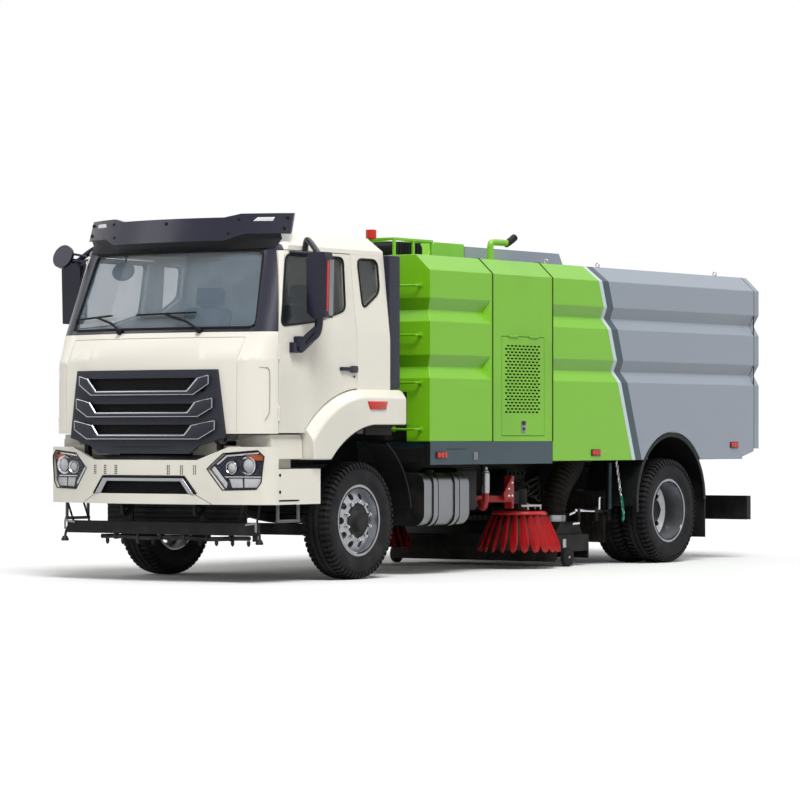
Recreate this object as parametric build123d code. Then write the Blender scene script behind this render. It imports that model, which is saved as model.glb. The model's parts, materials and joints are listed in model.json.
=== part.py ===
"""Street sweeper truck: two-axle tilt-cab chassis with a wash-and-sweep body, one STEP file per piece.

Millimetres. The front points to -Y, +X is the truck's left side, the ground is Z = 0.
Lengths along the truck that are called f(...) are measured rearward from the front axle.
"""
import os
from math import acos, atan2, cos, pi, sin

from build123d import *

os.makedirs("parts", exist_ok=True)

# Driving dimensions
front_overhang = 1570
wheelbase = 5000
rear_overhang = 1686
body_width = 2500
body_top = 2830
visor_rise = 270

overall_length = front_overhang + wheelbase + rear_overhang
front_axle = -overall_length / 2 + front_overhang
rear_end = wheelbase + rear_overhang
rear_axle = front_axle + wheelbase
half = body_width / 2
fit = 0.3
shut_gap = 6


def f(distance):
    """Y of a place that lies this far behind the front axle."""
    return front_axle + distance


# Wheels and tyres, size 275/80 R 22.5
axle_height = 506
tyre = dict(radius=506, half_width=138, bore=290, grooves=(-54, 0, 54))
rim = dict(flange=299, seat=290 - fit, inside=274, half_width=112)
hand_holes = dict(count=10, circle=212, radius=30)
front_wheel_x = 1010
dual_outer_x = 1090
dual_inner_x = 778
dual_flange_x = (dual_outer_x + dual_inner_x) / 2
spindle_radius = 40
rear_spindle_radius = 60
kingpin_x = 860
kingpin_radius = 25

# Ladder frame
gearbox_rear = 1080
rail = dict(outer=430, web=9, flange=75, top=980, bottom=710, front=-1360, rear=rear_end - 636)

# Cab: plan sections from the bottom up
wall = 60
cab_rear = 405
cab_bottom = 1250
floor_top = 1300
CAB = ["z", "front", "corner_x", "corner_y", "side_x", "side_y", "rear"]
cab_sections = [
    (1040, -1535, 934, -1450, 1165, -1215, cab_rear),
    (1850, -1530, 934, -1440, 1165, -1205, cab_rear),
    (2070, -1440, 945, -1310, 1165, -1190, cab_rear),
    (2830, -1170, 900, -1030, 1085, -945, cab_rear),
    (2945, -960, 790, -880, 975, -800, cab_rear - 80),
]
belt_z = cab_sections[2][0]
header_z = cab_sections[3][0]
cab_top = cab_sections[4][0]
roof_split = header_z - 40
visor_top = header_z + visor_rise
door_front = -1190
door_front_top = -1022
door_rear = -85
windscreen = [(-991, 2135), (991, 2135), (903, 2790), (-903, 2790)]
door_window = [(-1142, 2148), (-990, 2752), (-190, 2752), (-222, 2303), (-646, 2195)]
quarter_window = [(13, 2752), (305, 2752), (300, 2473), (35, 2319)]
pivot = dict(y=-1420, z=1200, radius=38, pin=18, chassis_x=(700, 740), cab_x=(742, 784))

# Front fender, drawn about the wheel centre
shoulder_radius = 1125
arch_radius = 770
fender_inner_x = 862

# Body: folded side panels with two grooves
groove_depth = 60
groove_half = 103
groove_heights = (body_top - 988, body_top - 488)
top_fold = body_top - 140
roof_thick = 60
roof_edge_x = 1100
inner_x = 1160
tank_front = 887
tank_rear = 1869
bay_rear = 2862
hopper_front = 2870
tailgate_rear = rear_end
tailgate_front = tailgate_rear - 90
hopper_rear = tailgate_front - shut_gap
skirt_bottom = 977
skirt_top = 1183
hopper_bottom = 1000
hopper_floor_z = (1290, 1350)
tip_axis = dict(y=rear_end - 486, z=900, radius=60, pin=30)
engine_door = dict(front=2020, rear=2715, bottom=1235, top=2130, thick=40)
duct = dict(half=260, front=2220, split=bay_rear, rear=0.9 * wheelbase, top=body_top + 200)

# Sweeping gear
brush = dict(x=850, y=0.582 * wheelbase, disc_z=500, disc=250, tip=400, tip_z=150, tufts=22)
swing_post = dict(x=600, y=brush["y"] - 610, radius=35)
guide_y = brush["y"] - 170
nozzle_front = brush["y"] + brush["tip"] + 80
nozzle_depth = 570


def save(name, *solids):
    """Writes the solids of one node to its file."""
    found = [s for shape in solids for s in shape.solids()]
    export_step(Compound(children=found) if len(found) > 1 else found[0], f"parts/{name}.step")


def place(plane, u, v):
    """A point given in the side view (y, z), the front view (x, z) or the plan (x, y)."""
    return {"side": (0, u, v), "front": (u, 0, v), "plan": (u, v, 0)}[plane]


def outline(plane, start, *steps):
    """Face bounded by straight steps (u, v) and arcs ((u, v) on the way, (u, v) at the end)."""
    edges = []
    at = start
    for step in (*steps, start):
        if isinstance(step[0], tuple):
            edges.append(ThreePointArc(place(plane, *at), place(plane, *step[0]), place(plane, *step[1])))
            at = step[1]
        elif step != at:
            edges.append(Line(place(plane, *at), place(plane, *step)))
            at = step
    return make_face(edges)


PULL = {"side": (1, 0, 0), "front": (0, 1, 0), "plan": (0, 0, 1)}


def prism(plane, low, high, start, *steps):
    """The outline pulled at right angles to its view, from low to high."""
    way = PULL[plane]
    body = extrude(outline(plane, start, *steps), amount=high - low, dir=way)
    return Pos(way[0] * low, way[1] * low, way[2] * low) * body


def block(x, y, z):
    """Box between two limits on each axis."""
    return Pos(sum(x) / 2, sum(y) / 2, sum(z) / 2) * Box(x[1] - x[0], y[1] - y[0], z[1] - z[0])


def rod(start, end, radius):
    """Round bar between two points."""
    line = Line(start, end)
    return extrude(Plane(start, z_dir=line @ 1 - line @ 0) * Circle(radius), amount=line.length)


def other_side(shape):
    return mirror(shape, about=Plane.YZ)


def turned(x, *profile):
    """Solid of revolution about an axle: the profile is (across, radius) from the wheel's middle."""
    face = outline("front", *profile)
    return Pos(x, 0, axle_height) * revolve(face, Axis.X)


def hang(child, fixed, centre, way, child_half, end_length, radius, pin, mirrored=False):
    """Hinges child to fixed: a barrel on the child, a pin with end barrels on the fixed piece."""
    c = Vector(*centre)
    d = Vector(*way)
    inner = child_half + 1
    outer = inner + end_length
    barrel = rod(c - d * child_half, c + d * child_half, radius)
    bore = rod(c - d * outer, c + d * outer, pin + fit)
    ends = rod(c - d * outer, c - d * inner, radius) + rod(c + d * inner, c + d * outer, radius)
    ends += rod(c - d * outer, c + d * outer, pin)
    end_room = rod(c - d * (outer + 2), c - d * inner, radius + 2)
    end_room += rod(c + d * inner, c + d * (outer + 2), radius + 2)
    barrel_room = rod(c - d * inner, c + d * inner, radius + 2)
    child = child - end_room + barrel - bore
    for turn in (lambda s: s, other_side) if mirrored else (lambda s: s,):
        fixed = fixed - turn(barrel_room) + turn(ends)
    return child, fixed


# Frame rails, each a channel open to the inside
def rail_side():
    x = rail["outer"]
    inside = x - rail["flange"]
    web = x - rail["web"]
    low = rail["bottom"]
    top = rail["top"]
    t = rail["web"]
    section = [(x, low), (x, top), (inside, top), (inside, top - t), (web, top - t), (web, low + t),
               (inside, low + t), (inside, low)]
    return prism("front", f(rail["front"]), f(rail["rear"]), *section)


left_rail = rail_side()
save("frame_rails", left_rail, other_side(left_rail))

beam_front = -1425

# Cross members between the webs, the front beam, the tow eyes and the tipping hinge pins
web_x = rail["outer"] - rail["web"]
member_shares = (0.38, 0.54, 0.70, 0.86)
member_places = (gearbox_rear + 100, *[share * wheelbase for share in member_shares], rail["rear"] - 300)
members = [block((-web_x, web_x), (f(y - 45), f(y + 45)), (770, 900)) for y in member_places]
front_beam = block((-745, 745), (f(beam_front), f(rail["front"])), (730, 950))
for side in (1, -1):
    x0, x1 = sorted(side * v for v in pivot["chassis_x"])
    y, z, r = pivot["y"], pivot["z"], pivot["radius"]
    arm = prism("side", x0, x1, (f(y - 12), z), (f(y + 5), 900), (f(rail["front"]), 900), (f(y + 35), z))
    pin_to = side * (pivot["cab_x"][1] + 6)
    front_beam += arm + rod((x0, f(y), z), (x1, f(y), z), r)
    front_beam += rod((side * pivot["chassis_x"][0], f(y), z), (pin_to, f(y), z), pivot["pin"])
tow_hole = 22
tow_places = (rail["front"] + 60, rail["rear"] - 150)
tow_eyes = []
for side in (1, -1):
    for y in tow_places:
        x = side * 395
        ear = prism("side", x - 15, x + 15, (f(y - 60), rail["bottom"]), (f(y + 60), rail["bottom"]),
                    (f(y + 50), 600), ((f(y), 550), (f(y - 50), 600)))
        tow_eyes.append(ear - rod((x - 20, f(y), 605), (x + 20, f(y), 605), tow_hole))
ty, tz = f(tip_axis["y"]), tip_axis["z"]
tip_brackets = []
for side in (1, -1):
    x0, x1 = sorted((side * 300, side * 345))
    ear = prism("side", x0, x1, (f(rail["rear"] - 120), 770), (f(rail["rear"] - 120), 940), (ty, tz + 50),
                ((ty + 50, tz), (ty, tz - 50)), (f(rail["rear"]), 770))
    tie = block(sorted((side * 345, side * web_x)), (f(rail["rear"] - 120), f(rail["rear"] - 20)), (780, 930))
    tip_brackets.append(ear + tie + rod((side * 300, ty, tz), (side * 475, ty, tz), tip_axis["pin"]))
# Posts that the brush arms swing on
post_x, post_y = swing_post["x"], f(swing_post["y"])
post = rod((post_x, post_y, 580), (post_x, post_y, 790), swing_post["radius"])
post += block((rail["outer"], post_x + 60), (post_y - 60, post_y + 60), (720, 790))
save("cross_members", front_beam, *members, *tow_eyes, *tip_brackets, post, other_side(post))

# Front axle beam with a kingpin boss at each end
half_beam = [(0, 370), (560, 370), (740, 462), (820, 462), (820, 550), (700, 550), (540, 470), (0, 470)]
beam = prism("front", f(-45), f(45), *half_beam)
beam += rod((kingpin_x, f(0), 456), (kingpin_x, f(0), 556), 45)
beam -= rod((kingpin_x, f(0), 400), (kingpin_x, f(0), 600), kingpin_radius + fit)
save("front_axle", beam + other_side(beam))

# Knuckles: fork about the boss, kingpin and spindle
knuckle = block((kingpin_x - 45, kingpin_x + 76), (f(-45), f(45)), (559, 592))
knuckle += block((kingpin_x - 45, kingpin_x + 76), (f(-45), f(45)), (420, 453))
knuckle += block((kingpin_x + 48, kingpin_x + 76), (f(-70), f(70)), (420, 592))
knuckle += rod((kingpin_x, f(0), 421), (kingpin_x, f(0), 591), kingpin_radius)
knuckle += rod((kingpin_x + 70, f(0), axle_height), (1070, f(0), axle_height), spindle_radius)
save("knuckle_left", knuckle)
save("knuckle_right", other_side(knuckle))


# Tyres: a full ring with rounded sidewalls
def tyre_ring(x):
    r, w, bore = tyre["radius"], tyre["half_width"], tyre["bore"]
    ring = turned(x, (-104, bore), (104, bore), ((w, 400), (126, 478)), ((118, 496), (100, 503)),
                  ((0, r), (-100, 503)), ((-118, 496), (-126, 478)), ((-w, 400), (-104, bore)))
    for across in tyre["grooves"]:
        low, high = across - 6, across + 6
        ring -= turned(x, (low, r - 15), (high, r - 15), (high, r + 5), (low, r + 5))
    return ring


def rim_barrel(x):
    w, seat, flange, inside = rim["half_width"], rim["seat"], rim["flange"], rim["inside"]
    lip = flange - 14
    return turned(x, (-w, inside), (w, inside), (w, lip), (w - 8, lip), (w - 8, seat), (8 - w, seat),
                  (8 - w, lip), (-w, lip))


def holes(x0, x1):
    n, ring, r = hand_holes["count"], hand_holes["circle"], hand_holes["radius"]
    spots = [(ring * cos(2 * pi * i / n), axle_height + ring * sin(2 * pi * i / n)) for i in range(n)]
    return [rod((x0, y, z), (x1, y, z), r) for y, z in spots]


def front_rim():
    x = front_wheel_x
    edge = rim["inside"] + 4
    bore = spindle_radius + fit
    disc = turned(x, (30, edge), (44, edge), (88, 190), (100, 150), (100, 60), (86, 60), (86, 145), (74, 186))
    hub = turned(x, (-62, bore), (-62, 205), (-20, 205), (-20, 130), (98, 130), (112, 112), (152, 95),
                 (160, 80), (160, 0), (62, 0), (62, bore))
    wheel = rim_barrel(x) + disc + hub
    for hole in holes(x + 20, x + 110):
        wheel -= hole
    return wheel


def rear_rims():
    m = dual_flange_x
    wheel = rim_barrel(dual_outer_x) + rim_barrel(dual_inner_x)
    inside = rim["inside"] + 4
    wheel += turned(m, (2, 150), (16, 150), (16, 215), (70, inside), (54, inside), (2, 225))
    wheel += turned(m, (-2, 150), (-2, 225), (-54, inside), (-70, inside), (-16, 215), (-16, 150))
    bore = rear_spindle_radius + fit
    wheel += turned(m, (-215, 90), (-215, 205), (-60, 205), (-60, 165), (20, 165), (24, 130), (110, 112),
                    (122, 95), (128, 0), (40, 0), (40, bore), (-120, bore), (-120, 90))
    for hole in holes(m - 90, m + 90):
        wheel -= hole
    return wheel


def stood(shape, y):
    return Pos(0, y, 0) * shape


front_tyre = stood(tyre_ring(front_wheel_x), f(0))
front_wheel = stood(front_rim(), f(0))
rear_tyres = [stood(tyre_ring(x), rear_axle) for x in (dual_outer_x, dual_inner_x)]
rear_wheel = stood(rear_rims(), rear_axle)
save("tyre_front_left", front_tyre)
save("tyre_front_right", other_side(front_tyre))
save("rim_front_left", front_wheel)
save("rim_front_right", other_side(front_wheel))
save("tyres_rear_left", *rear_tyres)
save("tyres_rear_right", *[other_side(t) for t in rear_tyres])
save("rims_rear_left", rear_wheel)
save("rims_rear_right", other_side(rear_wheel))

# Rear axle with its banjo housing, and the shaft that drives it
a = Vector(0, rear_axle, axle_height)
housing = rod(a - Vector(690, 0, 0), a + Vector(690, 0, 0), 75)
housing += rod(a - Vector(950, 0, 0), a + Vector(950, 0, 0), rear_spindle_radius)
housing += rod(a - Vector(0, 150, 0), a + Vector(0, 130, 0), 205)
housing += rod(a - Vector(0, 360, 0), a - Vector(0, 100, 0), 90)
shaft_z = 530
housing += rod((0, f(gearbox_rear), shaft_z), (0, rear_axle - 350, shaft_z), 55)
housing += rod((0, f(gearbox_rear), shaft_z), (0, f(gearbox_rear + 60), shaft_z), 75)
save("rear_axle", housing)

# Leaf springs with their hangers
def spring(x0, x1, y, seat, span, rise, thick, hang_x, hang_top):
    leaf = prism("side", x0, x1, (y - span, seat + rise), ((y, seat), (y + span, seat + rise)),
                 (y + span, seat + rise + 30), ((y, seat + thick), (y - span, seat + rise + 30)))
    for end in (y - span, y + span - 70):
        leaf += block(hang_x, (end, end + 70), (seat + rise, hang_top))
    return leaf


front_spring = spring(375, 455, f(0), 470, 800, 120, 70, (365, 455), rail["bottom"])
rear_spring = spring(470, 560, rear_axle, 581, 830, 120, 90, (rail["outer"], 560), 880)
save("leaf_springs", front_spring, other_side(front_spring), rear_spring, other_side(rear_spring))

# Engine and gearbox as one plain block on four feet
engine = block((-320, 320), (f(-640), f(430)), (560, 1180))
engine += block((-230, 230), (f(430), f(gearbox_rear)), (500, 860))
for y in (-520, 300):
    engine += block((-web_x, web_x), (f(y - 40), f(y + 40)), (800, 860))
save("engine", engine)


# Bumper: a curved band with room for the lamps and the intake
def bumper_region(inset, low, high):
    back = f(-1250)
    half_x = 1215 - inset
    corner = (1127 - inset * 0.7, f(-1372 + inset * 0.9))
    middle = (1188 - inset * 0.9, f(-1322 + inset * 0.6))
    return prism("plan", low, high, (-half_x, back), ((-middle[0], middle[1]), (-corner[0], corner[1])),
                 ((0, f(-1566 + inset)), corner), (middle, (half_x, back)))


lamp_shape = [(655, 958), (800, 1085), (1098, 1110), (1150, 1060), (1125, 845), (1085, 790), (795, 782)]
intake_shape = [(-555, 746), (555, 746), (441, 893), (-441, 893)]
bumper = bumper_region(0, 660, 1140) - bumper_region(42, 600, 1200)
edge = [(-1230, 660), (1230, 660), (1230, 1140), (850, 1140), (560, 1030), (-560, 1030), (-850, 1140),
        (-1230, 1140)]
bumper &= prism("front", f(-1600), f(-1200), *edge)
lamp_hole = prism("front", f(-1600), f(-1262), *lamp_shape)
bumper -= lamp_hole
bumper -= other_side(lamp_hole)
bumper -= prism("front", f(-1600), f(-1480), *intake_shape)
for x in (-400, 400):
    bumper += block((x - 40, x + 40), (f(-1535), f(beam_front)), (905, 950))
save("bumper", bumper)


def shrunk(shape, gap):
    """The lamp's outline moved in all round, about its middle."""
    cx = sum(p[0] for p in shape) / len(shape)
    cz = sum(p[1] for p in shape) / len(shape)
    reach = max(abs(p[0] - cx) for p in shape)
    return [(cx + (p[0] - cx) * (1 - gap / reach), cz + (p[1] - cz) * (1 - gap / reach)) for p in shape]


lamp = bumper_region(6, 700, 1180) - bumper_region(42, 600, 1200)
lamp &= prism("front", f(-1600), f(-1262), *shrunk(lamp_shape, 0.5))
beacon_x, beacon_y, lens_z = 566, f(950), body_top + 155
beacon = rod((beacon_x, beacon_y, body_top), (beacon_x, beacon_y, lens_z), 22)
beacon += rod((beacon_x, beacon_y, lens_z), (beacon_x, beacon_y, lens_z + 80), 48)

# Boarding steps behind the bumper's ends
step = block((760, 1190), (f(-1240), f(-640)), (660, 955))
step += block((760, 1010), (f(-1240), f(-820)), (955, 1040))
step += block((760, 1130), (f(-1240), f(-820)), (1040, 1205))
for y in (-1180, -900):
    step += rod((1150, f(y), 520), (1150, f(y), 665), 14)
step += rod((1150, f(-1194), 520), (1150, f(-886), 520), 14)
step += block((rail["outer"], 765), (f(-1150), f(-1000)), (730, 800))
save("steps", step, other_side(step))

# Wash bar under the bumper
wash = block((-1020, 1020), (f(-1330), f(-1250)), (400, 505))
for x in (-395, 395):
    wash += block((x - 30, x + 30), (f(-1236), f(-1216)), (420, rail["bottom"]))
    wash += block((x - 30, x + 30), (f(-1250), f(-1216)), (420, 500))

# Mudguards: a curved plate behind each front wheel, an arch over each rear pair
def arc_band(x0, x1, cy, cz, inner, thick, start, end):
    mid = (start + end) / 2

    def at(radius, angle):
        return (cy + radius * cos(angle), cz + radius * sin(angle))

    outer = inner + thick
    return prism("side", x0, x1, at(inner, start), (at(inner, mid), at(inner, end)), at(outer, end),
                 (at(outer, mid), at(outer, start)))


front_guard = arc_band(880, 1130, f(0), axle_height, 770, 12, 0.12, 1.02)
front_guard += block((rail["outer"], 900), (f(746), f(776)), (740, 780))
guard_radius, guard_thick, guard_z = 640, 12, 610
flap = (guard_radius - 1, guard_radius + guard_thick + 1)
arch = arc_band(665, 1235, rear_axle, guard_z, guard_radius, guard_thick, -0.02, pi + 0.02)
arch += block((665, 1235), (rear_axle + flap[0], rear_axle + flap[1]), (235, guard_z))
arch += block((900, 1235), (rear_axle - flap[1], rear_axle - flap[0]), (560, guard_z + 10))
for y in (-553, 553):
    arch += rod((rail["outer"], rear_axle + y, 938), (700, rear_axle + y, 938), 16)
save("mudguards", front_guard, other_side(front_guard))
save("rear_mudguard_left", arch)
save("rear_mudguard_right", other_side(arch))

# Side tanks: fuel on the left, battery and air tanks on the right
fuel = fillet(block((650, 1150), (f(940), f(1640)), (440, 905)).edges().filter_by(Axis.Y), 110)
for y in (1110, 1440):
    fuel += fillet(block((640, 1158), (f(y - 35), f(y + 35)), (432, 913)).edges().filter_by(Axis.Y), 116)
    fuel += block((rail["outer"], 660), (f(y - 35), f(y + 35)), (760, 860))
battery = block((-1120, -650), (f(940), f(1500)), (520, 900))
battery += block((-660, -rail["outer"]), (f(1000), f(1440)), (760, 860))
air = []
air_rear = swing_post["y"] - 250
for x in (-790, -1035):
    air.append(rod((x, f(1530), 760), (x, f(air_rear), 760), 115))
air_bar = block((-1045, -rail["outer"]), (f(air_rear - 290), f(air_rear - 230)), (874, 900))
save("side_tanks", fuel, battery, air[0] + air[1] + air_bar)


# Body side sections
def groove(start, end):
    """Cutters for the two grooves of the left side, from start to end along the truck."""
    cutters = []
    for z in groove_heights:
        deep = half - groove_depth
        out = half + groove_depth
        shape = [(deep, z), (out, z - 2 * groove_half), (out, z + 2 * groove_half)]
        cutters.append(prism("front", start, end, *shape))
    return cutters


def flat_section(low, y0, y1):
    shape = [(-half, low), (half, low), (half, top_fold), (roof_edge_x, body_top), (-roof_edge_x, body_top),
             (-half, top_fold)]
    return prism("front", y0, y1, *shape)


tank = flat_section(skirt_top, f(tank_front), f(tank_rear))
deep_x = half - groove_depth - 5
out_x = half + 100
end_room = prism("plan", skirt_top, body_top, (out_x, f(tank_front - 10)), (deep_x, f(tank_front - 10)),
                 (deep_x, f(tank_rear - 75)), (out_x, f(tank_rear + 30)))
for cutter in groove(f(tank_front - 10), f(tank_rear + 30)):
    cut = cutter & end_room
    tank -= cut
    tank -= other_side(cut)
for z in groove_heights:
    deep, out = f(tank_front + groove_depth), f(tank_front - groove_depth)
    tank -= prism("side", -out_x, out_x, (deep, z), (out, z - 2 * groove_half), (out, z + 2 * groove_half))
tank += block((-rail["outer"], rail["outer"]), (f(tank_front + 60), f(tank_rear)), (rail["top"], skirt_top))
save("water_tank", tank)

skirt = block((half - 70, half), (f(tank_front), f(bay_rear)), (skirt_bottom, skirt_top))
for y in (960, 1830, 2780):
    skirt += block((rail["outer"], half - 60), (f(y - 40), f(y + 40)), (skirt_top - 60, skirt_top))
save("skirts", skirt, other_side(skirt))

# Engine bay between tank and hopper, with a door in each side
bay = flat_section(skirt_top, f(tank_rear), f(bay_rear))
bay_wall = 40
bay_x = half - bay_wall
bay_roof_x = roof_edge_x - 30
bay_roof = body_top - 50
inside = [(-bay_x, skirt_top + bay_wall), (bay_x, skirt_top + bay_wall), (bay_x, top_fold - 30),
          (bay_roof_x, bay_roof), (-bay_roof_x, bay_roof), (-bay_x, top_fold - 30)]
bay -= prism("front", f(tank_rear - 10), f(bay_rear - bay_wall), *inside)
door_y = (f(engine_door["front"]), f(engine_door["rear"]))
door_z = (engine_door["bottom"], engine_door["top"])
door_room = block((half - 60, half + 40), (door_y[0] - shut_gap, door_y[1] + shut_gap),
                  (door_z[0] - shut_gap, door_z[1] + shut_gap))
bay -= door_room
bay -= other_side(door_room)
bay += block((-rail["outer"], rail["outer"]), (f(tank_rear), f(bay_rear)), (rail["top"], skirt_top))
bay_door = block((half - engine_door["thick"], half), door_y, door_z)
slots = dict(rows=22, columns=9, front=2072, bottom=1440, pitch_y=63, pitch_z=28.6, long=40, high=15)
vents = []
for row in range(slots["rows"]):
    for column in range(slots["columns"]):
        y = f(slots["front"]) + (column + 0.5 * (row % 2)) * slots["pitch_y"]
        z = slots["bottom"] + row * slots["pitch_z"]
        vents.append(block((half - 60, half + 10), (y, y + slots["long"]), (z, z + slots["high"])))
bay_door -= vents
for y in (2200, 2535):
    spot = (half, f(y), door_z[1] + shut_gap / 2)
    bay_door, bay = hang(bay_door, bay, spot, (0, 1, 0), 40, 30, 12, 5, mirrored=True)
save("engine_housing", bay)
save("engine_door_left", bay_door)
save("engine_door_right", other_side(bay_door))
aux_z = (skirt_top + bay_wall, engine_door["top"] - 80)
save("aux_engine", block((-520, 520), (f(tank_rear + 120), f(bay_rear - 160)), aux_z))

# Roof fittings: air duct, exhaust and guard rails about the air filter
duct_x = (-duct["half"], duct["half"])
front_duct = prism("side", *duct_x, (f(duct["front"]), body_top), (f(duct["split"]), body_top),
                   (f(duct["split"]), duct["top"]), (f(duct["front"] + 150), duct["top"]))
exhaust = dict(x=900, y=2352, elbow=body_top + 115, tip_y=2640, tip_z=body_top + 210, radius=42)
elbow = Vector(exhaust["x"], f(exhaust["y"]), exhaust["elbow"])
pipe = rod((exhaust["x"], f(exhaust["y"]), body_top), elbow, exhaust["radius"])
pipe += Pos(elbow) * Sphere(exhaust["radius"])
pipe += rod(elbow, (exhaust["x"], f(exhaust["tip_y"]), exhaust["tip_z"]), exhaust["radius"])
bar = 13
rail_z = body_top + 155
rail_x = (360, 740)
rail_y = (1060, 1640)
guard = block((rail_x[0] - bar, rail_x[1] + bar), (f(rail_y[0] - bar), f(rail_y[1] + bar)),
              (rail_z - bar, rail_z + bar))
guard -= block((rail_x[0] + bar, rail_x[1] - bar), (f(rail_y[0] + bar), f(rail_y[1] - bar)),
               (body_top, rail_z + 2 * bar))
for x in rail_x:
    for y in (rail_y[0], sum(rail_y) / 2, rail_y[1]):
        guard += block((x - bar, x + bar), (f(y - bar), f(y + bar)), (body_top, rail_z))
filter_box = block((410, 690), (f(1130), f(1570)), (body_top, body_top + 130))
filter_box = fillet(filter_box.edges().filter_by(Axis.X), 50)
save("roof_fittings", front_duct, pipe, guard, filter_box)

# Hopper: floor with front wall and two beams, side panels, roof and its air duct
floor = block((-inner_x, inner_x), (f(hopper_front), f(hopper_rear)), hopper_floor_z)
front_wall_z = (hopper_floor_z[0], body_top - 130)
floor += block((-inner_x, inner_x), (f(hopper_front), f(hopper_front + 60)), front_wall_z)
beam_x = (390, 470)
for side in (1, -1):
    xs = sorted(side * v for v in beam_x)
    floor += block(xs, (f(hopper_front), f(tip_axis["y"] + 40)), (rail["top"] + fit, hopper_floor_z[0]))
    xs = sorted(side * v for v in (360, 470))
    lug = prism("side", *xs, (ty - 60, 1000), (ty + 60, 1000), (ty + 60, tz), ((ty, tz - 60), (ty - 60, tz)))
    floor += lug - rod((xs[0] - 5, ty, tz), (xs[1] + 5, ty, tz), tip_axis["pin"] + fit)
save("hopper_floor", floor)

panel = prism("front", f(hopper_front), f(hopper_rear), (inner_x, hopper_bottom), (half, hopper_bottom),
              (half, top_fold), (roof_edge_x, body_top), (roof_edge_x, body_top - roof_thick),
              (inner_x, body_top - 118))
for cutter in groove(f(hopper_front - 10), f(hopper_rear + 10)):
    panel -= cutter
panel -= prism("side", 1000, 1400, (rear_axle - 660, 900), (rear_axle - 660, 610),
               ((rear_axle, 1270), (rear_axle + 660, 610)), (rear_axle + 660, 900))
tail = [(rear_end - 326, 990), (rear_end + 314, 990), (rear_end + 314, 1180), (rear_end + 4, 1100),
        (rear_end - 326, 1022)]
panel -= prism("side", 1000, 1400, *[(f(y), z) for y, z in tail])
save("hopper_sides", panel, other_side(panel))

roof = block((-roof_edge_x, roof_edge_x), (f(hopper_front), f(hopper_rear)),
             (body_top - roof_thick, body_top))
gate = flat_section(1105, f(tailgate_front), f(tailgate_rear))
for cutter in groove(f(tailgate_front - 10), f(tailgate_rear + 10)):
    gate -= cutter
    gate -= other_side(cutter)
for x in (-700, 700):
    spot = (x, f((hopper_rear + tailgate_front) / 2), body_top)
    gate, roof = hang(gate, roof, spot, (1, 0, 0), 60, 50, 24, 10)
save("tailgate", gate)
rear_duct_top = duct["top"] - 20
rear_duct = prism("side", *duct_x, (f(hopper_front), body_top), (f(duct["rear"] + 120), body_top),
                  (f(duct["rear"]), rear_duct_top), (f(hopper_front), rear_duct_top))
save("hopper_roof", roof + rear_duct)

# Rear guard
guard_y = (rear_end - 186, rear_end - 106)
guard_bar = block((-1220, 1220), (f(guard_y[0]), f(guard_y[1])), (390, 630))
for x in (-395, 395):
    guard_bar += block((x - 30, x + 30), (f(rail["rear"] - 30), f(guard_y[0])), (560, 630))
    guard_bar += block((x - 30, x + 30), (f(rail["rear"] - 30), f(rail["rear"])), (630, rail["bottom"]))
tail_lamps = []
tail_lamp = dict(wide=300, z=(440, 580), deep=25)
lamp_z = (tail_lamp["z"][0] + fit, tail_lamp["z"][1] - fit)
for x in (-1170, 1170 - tail_lamp["wide"]):
    lamp_front = f(guard_y[1] - tail_lamp["deep"])
    guard_bar -= block((x, x + tail_lamp["wide"]), (lamp_front, f(guard_y[1] + 10)), tail_lamp["z"])
    tail_lamps.append(block((x + fit, x + tail_lamp["wide"] - fit), (lamp_front, f(guard_y[1])), lamp_z))
save("guards", wash, guard_bar)
save("lamps", lamp, other_side(lamp), beacon, *tail_lamps)

# Suction nozzle, its hose and hangers
nozzle_rear = nozzle_front + nozzle_depth
nozzle = block((-950, 950), (f(nozzle_front), f(nozzle_rear)), (140, 300))
nozzle += prism("side", -900, 900, (f(nozzle_front + 30), 300), (f(nozzle_rear - 30), 300),
                (f(nozzle_rear - 110), 420), (f(nozzle_front + 160), 420))
for y in (nozzle_front, nozzle_rear - 20):
    nozzle += block((-950, 950), (f(y), f(y + 20)), (70, 140))
for x in (-393, 393):
    nozzle += block((x - 25, x + 25), (f(nozzle_front + 210), f(nozzle_front + 290)), (410, rail["bottom"]))
save("suction_nozzle", nozzle)

hose_x = 700
hose_low, hose_high = (nozzle_front + 310, 420), (wheelbase - 870, hopper_floor_z[0] - 4)
rise, run = hose_high[1] - hose_low[1], hose_high[0] - hose_low[0]
bend = (rise * rise + run * run) / (4 * run)


def bend_point(end, toward, angle):
    """Point on one of the two bends of the hose, an angle round from its upright end."""
    return (hose_x, f(end[0] + toward * bend * (1 - cos(angle))), end[1] + toward * bend * sin(angle))


half_turn = 2 * atan2(run, rise)
path = [ThreePointArc(bend_point(hose_low, 1, 0), bend_point(hose_low, 1, half_turn / 2),
                      bend_point(hose_low, 1, half_turn)),
        ThreePointArc(bend_point(hose_high, -1, half_turn), bend_point(hose_high, -1, half_turn / 2),
                      bend_point(hose_high, -1, 0))]
hose = sweep(Plane(bend_point(hose_low, 1, 0), z_dir=(0, 0, 1)) * Circle(130), path=Wire(path))
save("suction_hose", hose)

# Brush arms, turning on the posts
arm = rod((post_x, post_y, 600), (post_x, post_y, 700), 60)
arm -= rod((post_x, post_y, 590), (post_x, post_y, 710), swing_post["radius"] + fit)
arm += prism("plan", 620, 680, (post_x + 20, post_y + 45), (post_x + 45, post_y + 20),
             (brush["x"] + 40, f(guide_y - 20)), (brush["x"] + 40, f(guide_y + 20)),
             (brush["x"] - 40, f(guide_y + 20)))
arm += block((brush["x"] - 40, brush["x"] + 40), (f(guide_y - 20), f(guide_y + 20)), (560, 860))
save("brush_arm_left", arm)
save("brush_arm_right", other_side(arm))

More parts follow.
